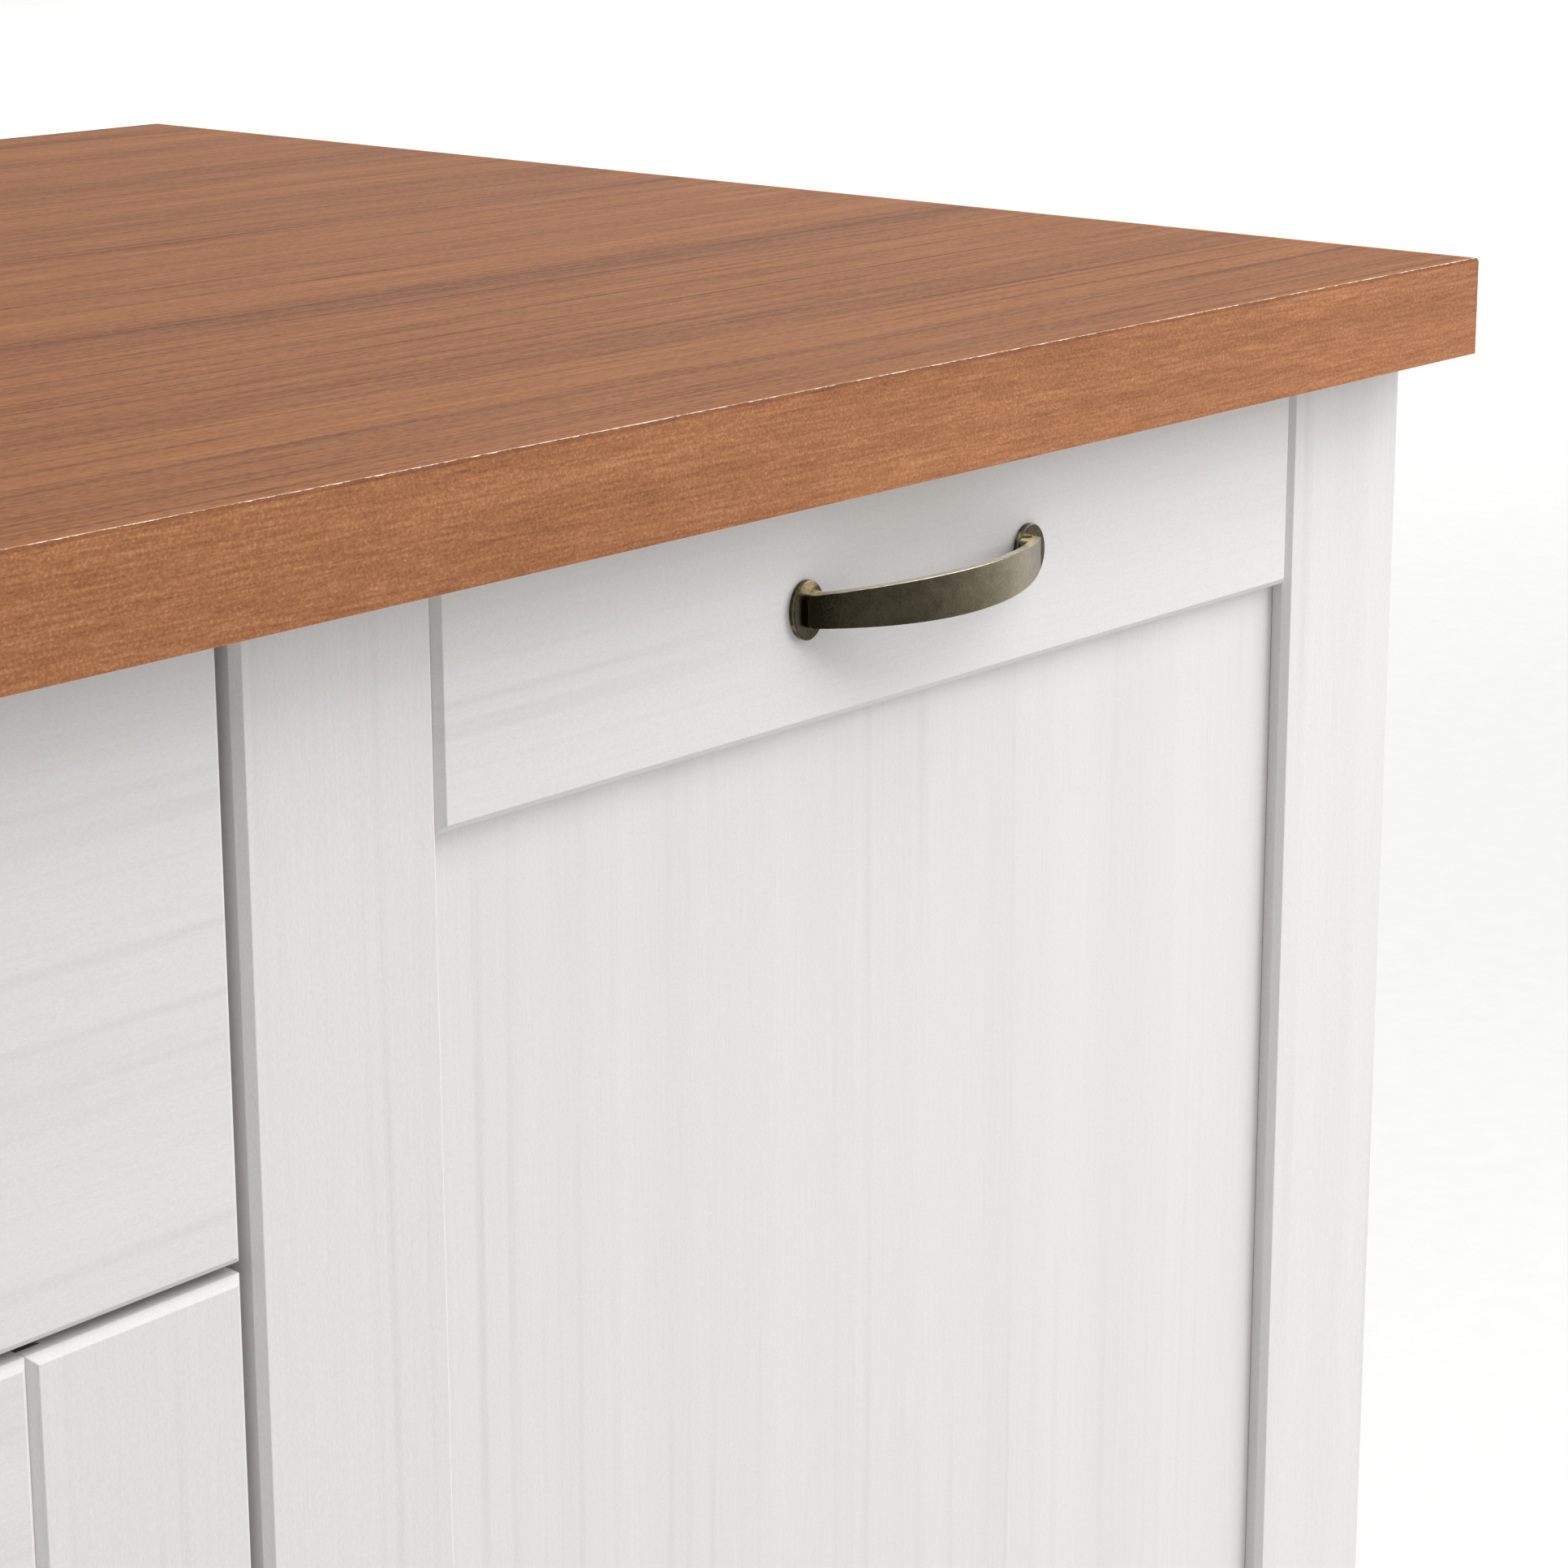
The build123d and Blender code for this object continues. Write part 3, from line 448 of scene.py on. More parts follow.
def arris_material(finish):
    """The edging's bevel: matt, with a painted highlight, a thin near-white stripe along its top
    that stands for the glint of light on the bevel.
    """
    material, tree, where = new_material("Edging arris, painted glint")
    tones = (finish.top_dark, finish.top_mid, finish.top_light)
    colour, height = edging_print(tree, where, tones)
    breaks = add(
        tree, "TexNoise", {"Vector": where, "Scale": 1000 / 5, "Detail": 4.0, "Roughness": 0.8}
    )
    place = add(tree, "SeparateXYZ", {"Vector": where}).outputs["Z"]
    # painted highlight: the bevel's top 0.085 mm is painted near-white for the glint of light along
    # it, give or take a waver that breaks it up
    glint_line = add(
        tree, "Math", (place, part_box("worktop_edging")[1].z - 0.085 * MM), operation="SUBTRACT"
    )
    waver = add(tree, "MapRange", (breaks, 0.3, 0.7, -0.16 * MM, 0.05 * MM))
    glint_line = add(tree, "Math", (glint_line, waver), operation="ADD")
    glint_line = add(tree, "MapRange", (glint_line, -0.02 * MM, 0.02 * MM))
    surface = {
        # painted highlight: the near-white stripe goes into the base colour
        "Base Color": add(tree, "Mix", (glint_line, colour, linear("FFFAF2")), data_type="RGBA"),
        "Roughness": 0.5,
        "Specular IOR Level": 0.1,
        "Normal": add(tree, "Bump", {"Height": height, "Distance": 0.02 * MM}),
    }
    add(tree, "OutputMaterial", {"Surface": add(tree, "BsdfPrincipled", surface)})
    return material


def board_material(finish):
    """White melamine-faced chipboard: satin, with the faint pearl texture of its press plate."""
    material, tree, where = new_material("Melamine-faced chipboard, satin white")
    # the pearl is some 2 mm across, over a drift of some 170 mm
    pearl = add(
        tree, "TexNoise", {"Vector": where, "Scale": 520.0, "Detail": 3.0, "Roughness": 0.6}
    )
    drift = add(tree, "TexNoise", {"Vector": where, "Scale": 6.0})
    tone = layered(tree, (pearl, 0.0, 1.0, 0.0, 0.6), (drift, 0.0, 1.0, 0.0, 0.4))
    surface = {
        "Base Color": add(tree, "ValToRGB", (tone,), ((0.3, "CBCAC7"), (0.62, finish.board_white))),
        "Roughness": add(tree, "MapRange", (pearl, 0.3, 0.7, 0.36, 0.44)),
        "Normal": add(tree, "Bump", {"Height": pearl, "Distance": 0.035 * MM}),
    }
    add(tree, "OutputMaterial", {"Surface": add(tree, "BsdfPrincipled", surface)})
    return material


def hardboard_material(finish):
    """Thin hardboard, hot-pressed from wet fibres: white lacquer inside, raw brown behind."""
    material, tree, where = new_material("Hardboard, white-faced")
    fibres = add(
        tree,
        "TexNoise",
        {"Vector": where, "Scale": 320.0, "Detail": 5.0, "Roughness": 0.7, "Distortion": 0.8},
    )
    # the screen that the sheet was pressed on leaves a weave some 5 mm apart
    warp = add(tree, "TexWave", {"Vector": where, "Scale": 62.0}, bands_direction="X")
    weft = add(tree, "TexWave", {"Vector": where, "Scale": 62.0}, bands_direction="Z")
    weave = add(tree, "Math", (warp.outputs["Fac"], weft.outputs["Fac"]), operation="MULTIPLY")
    brown = add(tree, "ValToRGB", (fibres,), ((0.3, "7A5B40"), (0.7, "A5825E")))
    pressed = add(tree, "MapRange", (weave, 0.2, 0.9, 0.0, 0.35))
    brown = add(tree, "Mix", (pressed, brown, linear("6B4E37")), data_type="RGBA")
    depth = add(tree, "SeparateXYZ", {"Vector": where}).outputs["Y"]
    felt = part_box("back_panel_left")[1].y - 0.3 * MM
    rear = add(tree, "Math", (depth, felt), operation="GREATER_THAN")
    height = add(tree, "Math", (fibres, weave), operation="ADD")
    surface = {
        "Base Color": add(tree, "Mix", (rear, linear(finish.board_white), brown), data_type="RGBA"),
        "Roughness": add(tree, "MapRange", (rear, 0.0, 1.0, 0.4, 0.8)),
        "Normal": add(tree, "Bump", {"Height": height, "Distance": 0.08 * MM, "Strength": 0.6}),
    }
    add(tree, "OutputMaterial", {"Surface": add(tree, "BsdfPrincipled", surface)})
    return material


def bronze_material(finish):
    """Cast zinc, dipped in a bronze patina and rubbed back: clouded, with pale metal at rubbed
    edges and a painted glint along the strap's top edge.
    """
    material, tree, where = new_material("Zinc casting, aged bronze")
    # clouds 5 to 8 mm across, rubbed spots of 2 to 3 mm, and the casting's grit below 1 mm
    cloud = add(tree, "Mapping", {"Vector": where, "Scale": waves(8, 8, 5)})
    cloud = add(
        tree,
        "TexNoise",
        {"Vector": cloud, "Scale": 1.0, "Detail": 4.0, "Roughness": 0.6, "Distortion": 0.4},
    )
    rubbed = add(tree, "Mapping", {"Vector": where, "Scale": waves(2.2, 2.2, 3)})
    rubbed = add(
        tree, "TexNoise", {"Vector": rubbed, "Scale": 1.0, "Detail": 4.0, "Roughness": 0.7}
    )
    grit = add(tree, "TexNoise", {"Vector": where, "Scale": 1000 / 0.6, "Roughness": 0.6})
    wear_and_glint = add(tree, "Attribute", attribute_name="wear_and_glint").outputs["Fac"]
    tone = layered(
        tree,
        (cloud, 0.3, 0.7, 0.22, 0.4),
        (rubbed, 0.3, 0.7, 0.1, 0.22),
        (grit, 0.3, 0.7, -0.1, 0.14),
        (wear_and_glint, 0.0, 0.25, -0.6, 0.0),
    )
    # the patina is darkest where nothing touches it; rubbed metal is pale and polished, and along
    # the strap's top edge the pale metal is also a painted highlight, a glint of light
    patina = add(tree, "ValToRGB", (tone,), ((0.0, finish.bronze_dark), (0.9, finish.bronze_mid)))
    worn_and_glint = add(tree, "MapRange", (rubbed, 0.35, 0.6, 0.75, 1.0))
    worn_and_glint = add(tree, "Math", (wear_and_glint, worn_and_glint), operation="MULTIPLY")
    bare_and_glint = add(tree, "MapRange", (worn_and_glint, 0.45, 1.0))
    polish = add(tree, "MapRange", (worn_and_glint, 0.3, 0.9, 0.0, 0.12))
    rough = add(tree, "MapRange", (rubbed, 0.3, 0.7, 0.28, 0.32))
    # painted highlight: the pale metal colour is mixed in along the strap's top edge as a glint, as
    # well as where it is rubbed
    colour = add(tree, "Mix", (bare_and_glint, patina, linear(finish.bronze_worn_and_glint)), data_type="RGBA")
    height = add(tree, "Math", (grit, 0.3, cloud), operation="MULTIPLY_ADD")
    surface = {
        "Base Color": colour,
        "Metallic": 1.0,
        "Roughness": add(tree, "Math", (rough, polish), operation="SUBTRACT"),
        "Normal": add(tree, "Bump", {"Height": height, "Distance": 0.02 * MM, "Strength": 0.3}),
    }
    add(tree, "OutputMaterial", {"Surface": add(tree, "BsdfPrincipled", surface)})
    return material


def coated_steel_material():
    """Rolled steel with a baked white epoxy coat: glossy, with a slight orange peel."""
    material, tree, where = new_material("Rolled steel, white epoxy coat")
    # the peel is some 3 mm across
    peel = add(tree, "TexNoise", {"Vector": where, "Scale": 300.0})
    surface = {
        "Base Color": add(tree, "ValToRGB", (peel,), ((0.3, "D2D2CF"), (0.7, "DCDCDA"))),
        "Roughness": 0.3,
        "Coat Weight": 0.3,
        "Coat Roughness": 0.12,
        "Normal": add(tree, "Bump", {"Height": peel, "Distance": 0.05 * MM}),
    }
    add(tree, "OutputMaterial", {"Surface": add(tree, "BsdfPrincipled", surface)})
    return material


def plated_steel_material():
    """Pressed steel with a nickel plating: bright, with faint rolling lines and small pits."""
    material, tree, where = new_material("Pressed steel, nickel-plated")
    rolled = add(tree, "Mapping", {"Vector": where, "Scale": waves(12, 12, 0.5)})
    rolled = add(tree, "TexNoise", {"Vector": rolled, "Scale": 1.0})
    # the plating's pits are finer than 0.1 mm, and are drawn 1.4 mm wide to show
    pits = add(tree, "TexNoise", {"Vector": where, "Scale": 700.0, "Detail": 3.0, "Roughness": 0.7})
    tone = add(tree, "Math", (rolled, pits), operation="MULTIPLY")
    surface = {
        "Base Color": add(tree, "ValToRGB", (tone,), ((0.1, "D0CDC6"), (0.4, "E4E2DC"))),
        "Metallic": 1.0,
        "Roughness": add(tree, "MapRange", (rolled, 0.3, 0.7, 0.34, 0.44)),
        "Normal": add(tree, "Bump", {"Height": pits, "Distance": 0.02 * MM}),
    }
    add(tree, "OutputMaterial", {"Surface": add(tree, "BsdfPrincipled", surface)})
    return material


def moulded_material(name, dark, light, roughness, grain_mm):
    """Injection-moulded plastic with a spark-eroded texture, grain_mm across, and flow marks."""
    material, tree, where = new_material(name)
    spark = add(
        tree,
        "TexNoise",
        {"Vector": where, "Scale": 1000 / grain_mm, "Detail": 3.0, "Roughness": 0.65},
    )
    flow = add(tree, "TexNoise", {"Vector": where, "Scale": 9.0, "Distortion": 0.5})
    tone = layered(tree, (spark, 0.0, 1.0, 0.0, 0.5), (flow, 0.0, 1.0, 0.0, 0.5))
    surface = {
        "Base Color": add(tree, "ValToRGB", (tone,), ((0.35, dark), (0.65, light))),
        "Roughness": add(tree, "MapRange", (spark, 0.3, 0.7, roughness - 0.05, roughness + 0.06)),
        "Normal": add(tree, "Bump", {"Height": spark, "Distance": 0.05 * MM}),
    }
    add(tree, "OutputMaterial", {"Surface": add(tree, "BsdfPrincipled", surface)})
    return material


def floor_material(studio):
    """Painted studio floor, rolled on: matt and pale, with a very faint roller texture."""
    material, tree, where = new_material("Studio floor paint, matt")
    # the roller's marks are some 25 mm across
    roller = add(
        tree, "TexNoise", {"Vector": where, "Scale": 40.0, "Detail": 3.0, "Roughness": 0.6}
    )
    surface = {
        "Base Color": add(tree, "ValToRGB", (roller,), ((0.2, "C4C4C3"), (0.8, studio.floor))),
        "Roughness": 0.9,
        "Specular IOR Level": 0.1,
    }
    add(tree, "OutputMaterial", {"Surface": add(tree, "BsdfPrincipled", surface)})
    return material


# Modelling


def only(piece):
    """Selects one object and makes it the active one."""
    bpy.ops.object.select_all(action="DESELECT")
    piece.select_set(True)
    bpy.context.view_layer.objects.active = piece


def apply_modifiers(piece):
    """Applies all the modifiers of a piece, in their order."""
    only(piece)
    for modifier in list(piece.modifiers):
        bpy.ops.object.modifier_apply(modifier=modifier.name)


def settle(piece, name, material=None):
    """Names a finished piece and puts its place into its mesh."""
    only(piece)
    piece.name = piece.data.name = name
    bpy.ops.object.transform_apply(location=True, rotation=True, scale=True)
    if material is not None:
        piece.data.materials.clear()
        piece.data.materials.append(material)
    return piece


def copy_of_node(node, name):
    """A merged copy of a CAD node's mesh, with flat faces in one piece and its own normals."""
    source = frame["nodes"][node]
    piece = source.copy()
    piece.data = source.data.copy()
    piece.name = piece.data.name = name
    bpy.context.collection.objects.link(piece)
    only(piece)
    if piece.data.has_custom_normals:
        bpy.ops.mesh.customdata_custom_splitnormals_clear()
    bpy.ops.object.mode_set(mode="EDIT")
    bpy.ops.mesh.select_all(action="SELECT")
    # corners that triangles share are merged, and flat faces lose the edges inside them
    bpy.ops.mesh.remove_doubles(threshold=0.002 * MM)
    bpy.ops.mesh.dissolve_limited(angle_limit=math.radians(0.5))
    bpy.ops.object.mode_set(mode="OBJECT")
    return piece


def smooth_faces(piece, angle):
    """Shades a piece smooth up to the angle, with its large flat faces kept flat."""
    only(piece)
    bpy.ops.object.shade_smooth_by_angle(angle=math.radians(angle))
    normals = piece.modifiers.new("Normals", "WEIGHTED_NORMAL")
    normals.weight = 100
    normals.keep_sharp = True
    apply_modifiers(piece)


def round_edges(piece, width, segments=2, angle=40.0):
    """Rounds every edge sharper than the angle."""
    bevel = piece.modifiers.new("Edges", "BEVEL")
    bevel.width = width
    bevel.segments = segments
    bevel.limit_method = "ANGLE"
    bevel.angle_limit = math.radians(angle)
    apply_modifiers(piece)
    smooth_faces(piece, angle)


def round_front_edges(piece, width, depth):
    """Rounds the long sharp edges within a depth behind the front face, as the foil does."""
    only(piece)
    front = min(vertex.co.y for vertex in piece.data.vertices)
    bpy.ops.object.mode_set(mode="EDIT")
    bpy.ops.mesh.select_mode(type="EDGE")
    bpy.ops.mesh.select_all(action="DESELECT")
    bpy.ops.mesh.edges_select_sharp(sharpness=math.radians(30))
    bpy.ops.object.mode_set(mode="OBJECT")
    for edge in piece.data.edges:
        a, b = (piece.data.vertices[i].co for i in edge.vertices)
        if max(a.y, b.y) > front + depth or (a - b).length < FOIL_SHORTEST:
            edge.select = False
    bpy.ops.object.mode_set(mode="EDIT")
    bpy.ops.mesh.bevel(offset=width, segments=2, affect="EDGES", clamp_overlap=True)
    bpy.ops.object.mode_set(mode="OBJECT")
    smooth_faces(piece, 35)


def dress(node, material):
    """Gives a CAD node its material, whose own shape is right as it is."""
    for slot in frame["nodes"][node].material_slots:
        slot.material = material


def body_of(node):
    """The moving body that a CAD node belongs to."""
    for body, members in frame["record"]["behaviour"]["bodies"].items():
        if node in members:
            return body
    raise RuntimeError(f"no body holds {node}")


def join(pieces):
    """Joins pieces in the first of them."""
    bpy.ops.object.select_all(action="DESELECT")
    for piece in pieces:
        piece.select_set(True)
    bpy.context.view_layer.objects.active = pieces[0]
    bpy.ops.object.join()
    return pieces[0]


def bow_depth(sizes, x, inward):
    """How far the bow stands out of the front at x, on a face inward of the strap's outer one."""
    return sizes.rise - sizes.bow_radius + math.sqrt((sizes.bow_radius - inward) ** 2 - x**2)


def half_height(sizes, x):
    """Half the strap's height at x: its long sides are arcs through the end and middle heights."""
    sag = (sizes.mid_height - sizes.end_height) / 2
    radius = (sizes.half_length**2 + sag**2) / (2 * sag)
    return sizes.mid_height / 2 - radius + math.sqrt(radius**2 - x**2)


def select_edges(piece, picks):
    """Selects the edges that a test of their two points picks, and stays in edit mode."""
    bpy.ops.object.mode_set(mode="EDIT")
    bpy.ops.mesh.select_mode(type="EDGE")
    bpy.ops.mesh.select_all(action="DESELECT")
    bpy.ops.object.mode_set(mode="OBJECT")
    for edge in piece.data.edges:
        edge.select = picks(*(piece.data.vertices[i].co for i in edge.vertices))
    bpy.ops.object.mode_set(mode="EDIT")


def model_strap(sizes):
    """The bowed strap at the origin, its back towards +Y: a bar cut along its length and bent."""
    bpy.ops.mesh.primitive_cube_add(size=1, location=(0, 0, 0))
    strap = bpy.context.object
    strap.scale = (2 * sizes.half_length, sizes.thickness, 1)
    only(strap)
    bpy.ops.object.transform_apply(location=False, rotation=False, scale=True)
    select_edges(strap, lambda a, b: abs(a.x - b.x) > sizes.half_length)
    bpy.ops.mesh.subdivide(number_cuts=STRAP_CUTS)
    bpy.ops.object.mode_set(mode="OBJECT")
    for vertex in strap.data.vertices:
        x, front, up = vertex.co.x, vertex.co.y < 0, vertex.co.z > 0
        depth = bow_depth(sizes, x, 0 if front else sizes.thickness)
        # the back's ends stay just clear of the front
        vertex.co.y = -max(depth, 0.4 * MM)
        vertex.co.z = half_height(sizes, x) if up else -half_height(sizes, x)
    # the ends' corners are rounded in the outline, and their upright outer edges are turned over
    end = sizes.half_length - NEAR
    outer = NEAR - bow_depth(sizes, sizes.half_length, 0)
    tall = sizes.end_height / 3

    def is_corner(a, b):
        return min(abs(a.x), abs(b.x)) > end and abs(a.y - b.y) > NEAR

    def is_upright(a, b):
        return min(abs(a.x), abs(b.x)) > end and max(a.y, b.y) < outer and abs(a.z - b.z) > tall

    select_edges(strap, is_corner)
    bpy.ops.mesh.bevel(offset=CORNER_ROUND, segments=5, affect="EDGES")
    select_edges(strap, is_upright)
    bpy.ops.mesh.bevel(offset=END_ROUND, segments=5, affect="EDGES")
    bpy.ops.object.mode_set(mode="OBJECT")
    round_edges(strap, STRAP_ROUND, 4, 50.0)
    return strap


def model_backplate(sizes, x):
    """An oval plate with a rounded front rim."""
    bpy.ops.mesh.primitive_cylinder_add(
        vertices=64, radius=0.5, depth=sizes.plate_thickness,
        location=(x, -sizes.plate_thickness / 2, 0), rotation=(math.pi / 2, 0, 0),
    )
    plate = bpy.context.object
    only(plate)
    bpy.ops.object.transform_apply(location=True, rotation=True, scale=False)
    bpy.ops.object.mode_set(mode="EDIT")
    bpy.ops.mesh.select_all(action="SELECT")
    bpy.ops.transform.resize(
        value=(sizes.plate_width, 1, sizes.plate_height),
        center_override=(x, -sizes.plate_thickness / 2, 0),
    )
    bpy.ops.object.mode_set(mode="OBJECT")
    round_edges(plate, PLATE_ROUND, 2, 60.0)
    return plate


def model_foot(sizes, x):
    """The foot between the strap and its backplate: a block whose front follows the strap."""
    side = -1 if x < 0 else 1
    inner, outer = x - side * FOOT_INWARD, x + side * FOOT_OUTWARD
    height = sizes.end_height - 0.2 * MM
    # a thin block in the backplate, whose outer points are drawn out into the strap
    bpy.ops.mesh.primitive_cube_add(size=1, location=((inner + outer) / 2, -1 * MM, 0))
    foot = bpy.context.object
    foot.scale = (abs(outer - inner), 0.6 * MM, height)
    only(foot)
    bpy.ops.object.transform_apply(location=True, rotation=True, scale=True)
    for vertex in foot.data.vertices:
        if vertex.co.y < -1 * MM:
            vertex.co.y = -max(bow_depth(sizes, vertex.co.x, sizes.thickness / 2), 1.2 * MM)
    round_edges(foot, FOOT_ROUND, 3, 40.0)
    return foot


def paint_wear_and_glint(handle, sizes):
    """Writes how rubbed each point is, with a painted glint: most along the strap's top edge, less
    along its lower edge.
    """
    wear_and_glint = handle.data.attributes.new("wear_and_glint", "FLOAT", "POINT")
    for index, vertex in enumerate(handle.data.vertices):
        x, y, z = vertex.co
        inside = min(abs(x), sizes.half_length)
        half = half_height(sizes, inside)
        top = low = rim = face = 0.0
        # only points that face up or down count, so that it stays on the rounded edges. On the top
        # edge it is partly a painted highlight: it grows with how far the rounding faces up, where
        # light from above glints, and fades towards the strap's ends
        if abs(z - half) < 0.9 * MM and vertex.normal.z > 0.25:
            top = min(1.0, 1.5 * vertex.normal.z) * (1 - (inside / sizes.half_length) ** 8)
        if abs(z + half) < 0.6 * MM and vertex.normal.z < -0.25:
            low = 0.5
        # the backplates' rims are hardly touched
        if 0.7 < -y / sizes.plate_thickness < 1.05:
            rim = 0.15
        # fingers rub the strap's face from its middle outwards, and leave its ends and feet dark
        if y < -sizes.plate_thickness * 2:
            face = 0.3 * (1 - (inside / sizes.half_length) ** 4)
        wear_and_glint.data[index].value = min(1.0, max(top, low, rim, face))


def model_handle(sizes, material):
    """One bow handle at the origin: its strap, two backplates and two feet, joined."""
    parts = [model_strap(sizes)]
    for x in (-sizes.span / 2, sizes.span / 2):
        parts += [model_backplate(sizes, x), model_foot(sizes, x)]
    handle = join(parts)
    paint_wear_and_glint(handle, sizes)
    return settle(handle, "bow_handle", material)


def model_screw(radius, height, recess):
    """A screw's head at the origin, facing +Z, with a cross recess."""
    bpy.ops.mesh.primitive_cylinder_add(
        vertices=32, radius=radius, depth=height, location=(0, 0, height / 2)
    )
    head = bpy.context.object
    only(head)
    bpy.ops.object.transform_apply(location=True, rotation=True, scale=True)
    round_edges(head, height * 0.45, 3, 60.0)
    bpy.ops.mesh.primitive_cube_add(size=1, location=(0, 0, height))
    cross = bpy.context.object
    cross.scale = (recess, recess * 0.24, height)
    bpy.ops.object.duplicate()
    other = bpy.context.object
    other.rotation_euler[2] = math.pi / 2
    for cutter in (cross, other):
        cut = head.modifiers.new("Recess", "BOOLEAN")
        cut.object = cutter
        cut.solver = "EXACT"
    apply_modifiers(head)
    bpy.data.objects.remove(cross)
    bpy.data.objects.remove(other)
    return head


def place_copies(master, name, spots, body, material):
    """Copies of a small master piece, joined: each spot is a place and the way it faces."""
    copies = []
    for place, facing in spots:
        piece = master.copy()
        piece.data = master.data.copy()
        bpy.context.collection.objects.link(piece)
        turn = Vector(facing).to_track_quat("Z", "Y").to_matrix().to_4x4()
        piece.matrix_world = Matrix.Translation(place) @ turn
        only(piece)
        bpy.ops.object.transform_apply(location=True, rotation=True, scale=True)
        copies.append(piece)
    group = settle(join(copies), name, material)
    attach(group, body)
    return group


# One operator for each piece or group of like pieces


class CABINET_OT_fronts(bpy.types.Operator):
    """Soften the edges of the drawer front and the framed fronts, and give them their foil"""

    bl_idname = "cabinet.fronts"
    bl_label = "Fronts"

    def execute(self, context):
        finish = context.scene.cabinet_finish
        upright = foil_material("White foil, upright grain", "Z", finish, (0, 0, 0))
        level = foil_material("White foil, level grain", "X", finish, (2.3, 0.4, 5.1))
        members = [("drawer_front", level)]
        for front in FRONTS:
            for part in FRAME_MEMBERS:
                members.append((f"{front}_{part}", level if "rail" in part else upright))
        for node, material in members:
            piece = copy_of_node(node, node + "_foiled")
            if node.endswith("panel"):
                smooth_faces(piece, 35)
            else:
                round_front_edges(piece, finish.edge_softness, FOIL_REACH)
            settle(piece, node + "_foiled", material)
            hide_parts(node)
            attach(piece, body_of(node))
        return {"FINISHED"}


class CABINET_OT_worktop(bpy.types.Operator):
    """Give the worktop its print, and its edging's arris a painted glint"""

    bl_idname = "cabinet.worktop"
    bl_label = "Worktop"

    def execute(self, context):
        finish = context.scene.cabinet_finish
        dress("worktop_board", worktop_material(finish))
        edging = copy_of_node("worktop_edging", "worktop_edging_glint_painted")
        settle(edging, "worktop_edging_glint_painted", edging_material(finish))
        # the arris material carries a painted highlight along the bevel's top
        edging.data.materials.append(arris_material(finish))
        # the bevel is the face that leans halfway between the front and the top
        for polygon in edging.data.polygons:
            slanted = abs(polygon.normal.y + polygon.normal.z) < 0.1 and abs(polygon.normal.x) < 0.1
            if slanted and abs(polygon.normal.z - 0.707) < 0.05:
                polygon.material_index = 1
        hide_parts("worktop_edging")
        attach(edging, "carcass")
        return {"FINISHED"}


class CABINET_OT_carcass(bpy.types.Operator):
    """Give the carcass boards, the drawer box and the backs their faces"""

    bl_idname = "cabinet.carcass"
    bl_label = "Carcass"

    def execute(self, context):
        finish = context.scene.cabinet_finish
        board = board_material(finish)
        hardboard = hardboard_material(finish)
        for entry in frame["record"]["subparts"]:
            if entry["material_slot"] in ("white_board", "drawer_board"):
                dress(entry["node"], board)
            if entry["material_slot"] == "hardboard":
                dress(entry["node"], hardboard)
        return {"FINISHED"}


class CABINET_OT_handles(bpy.types.Operator):
    """Model one bow handle and fit a copy to each front"""

    bl_idname = "cabinet.handles"
    bl_label = "Handles"

    def execute(self, context):
        material = bronze_material(context.scene.cabinet_finish)
        master = model_handle(context.scene.handle_sizes, material)
        for node, body in HANDLES.items():
            low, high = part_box(node)
            piece = master.copy()
            piece.data = master.data.copy()
            bpy.context.collection.objects.link(piece)
            piece.location = ((low.x + high.x) / 2, high.y, (low.z + high.z) / 2)
            settle(piece, node + "_bronze")
            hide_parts(node)
            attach(piece, body)
        bpy.data.objects.remove(master)
        return {"FINISHED"}


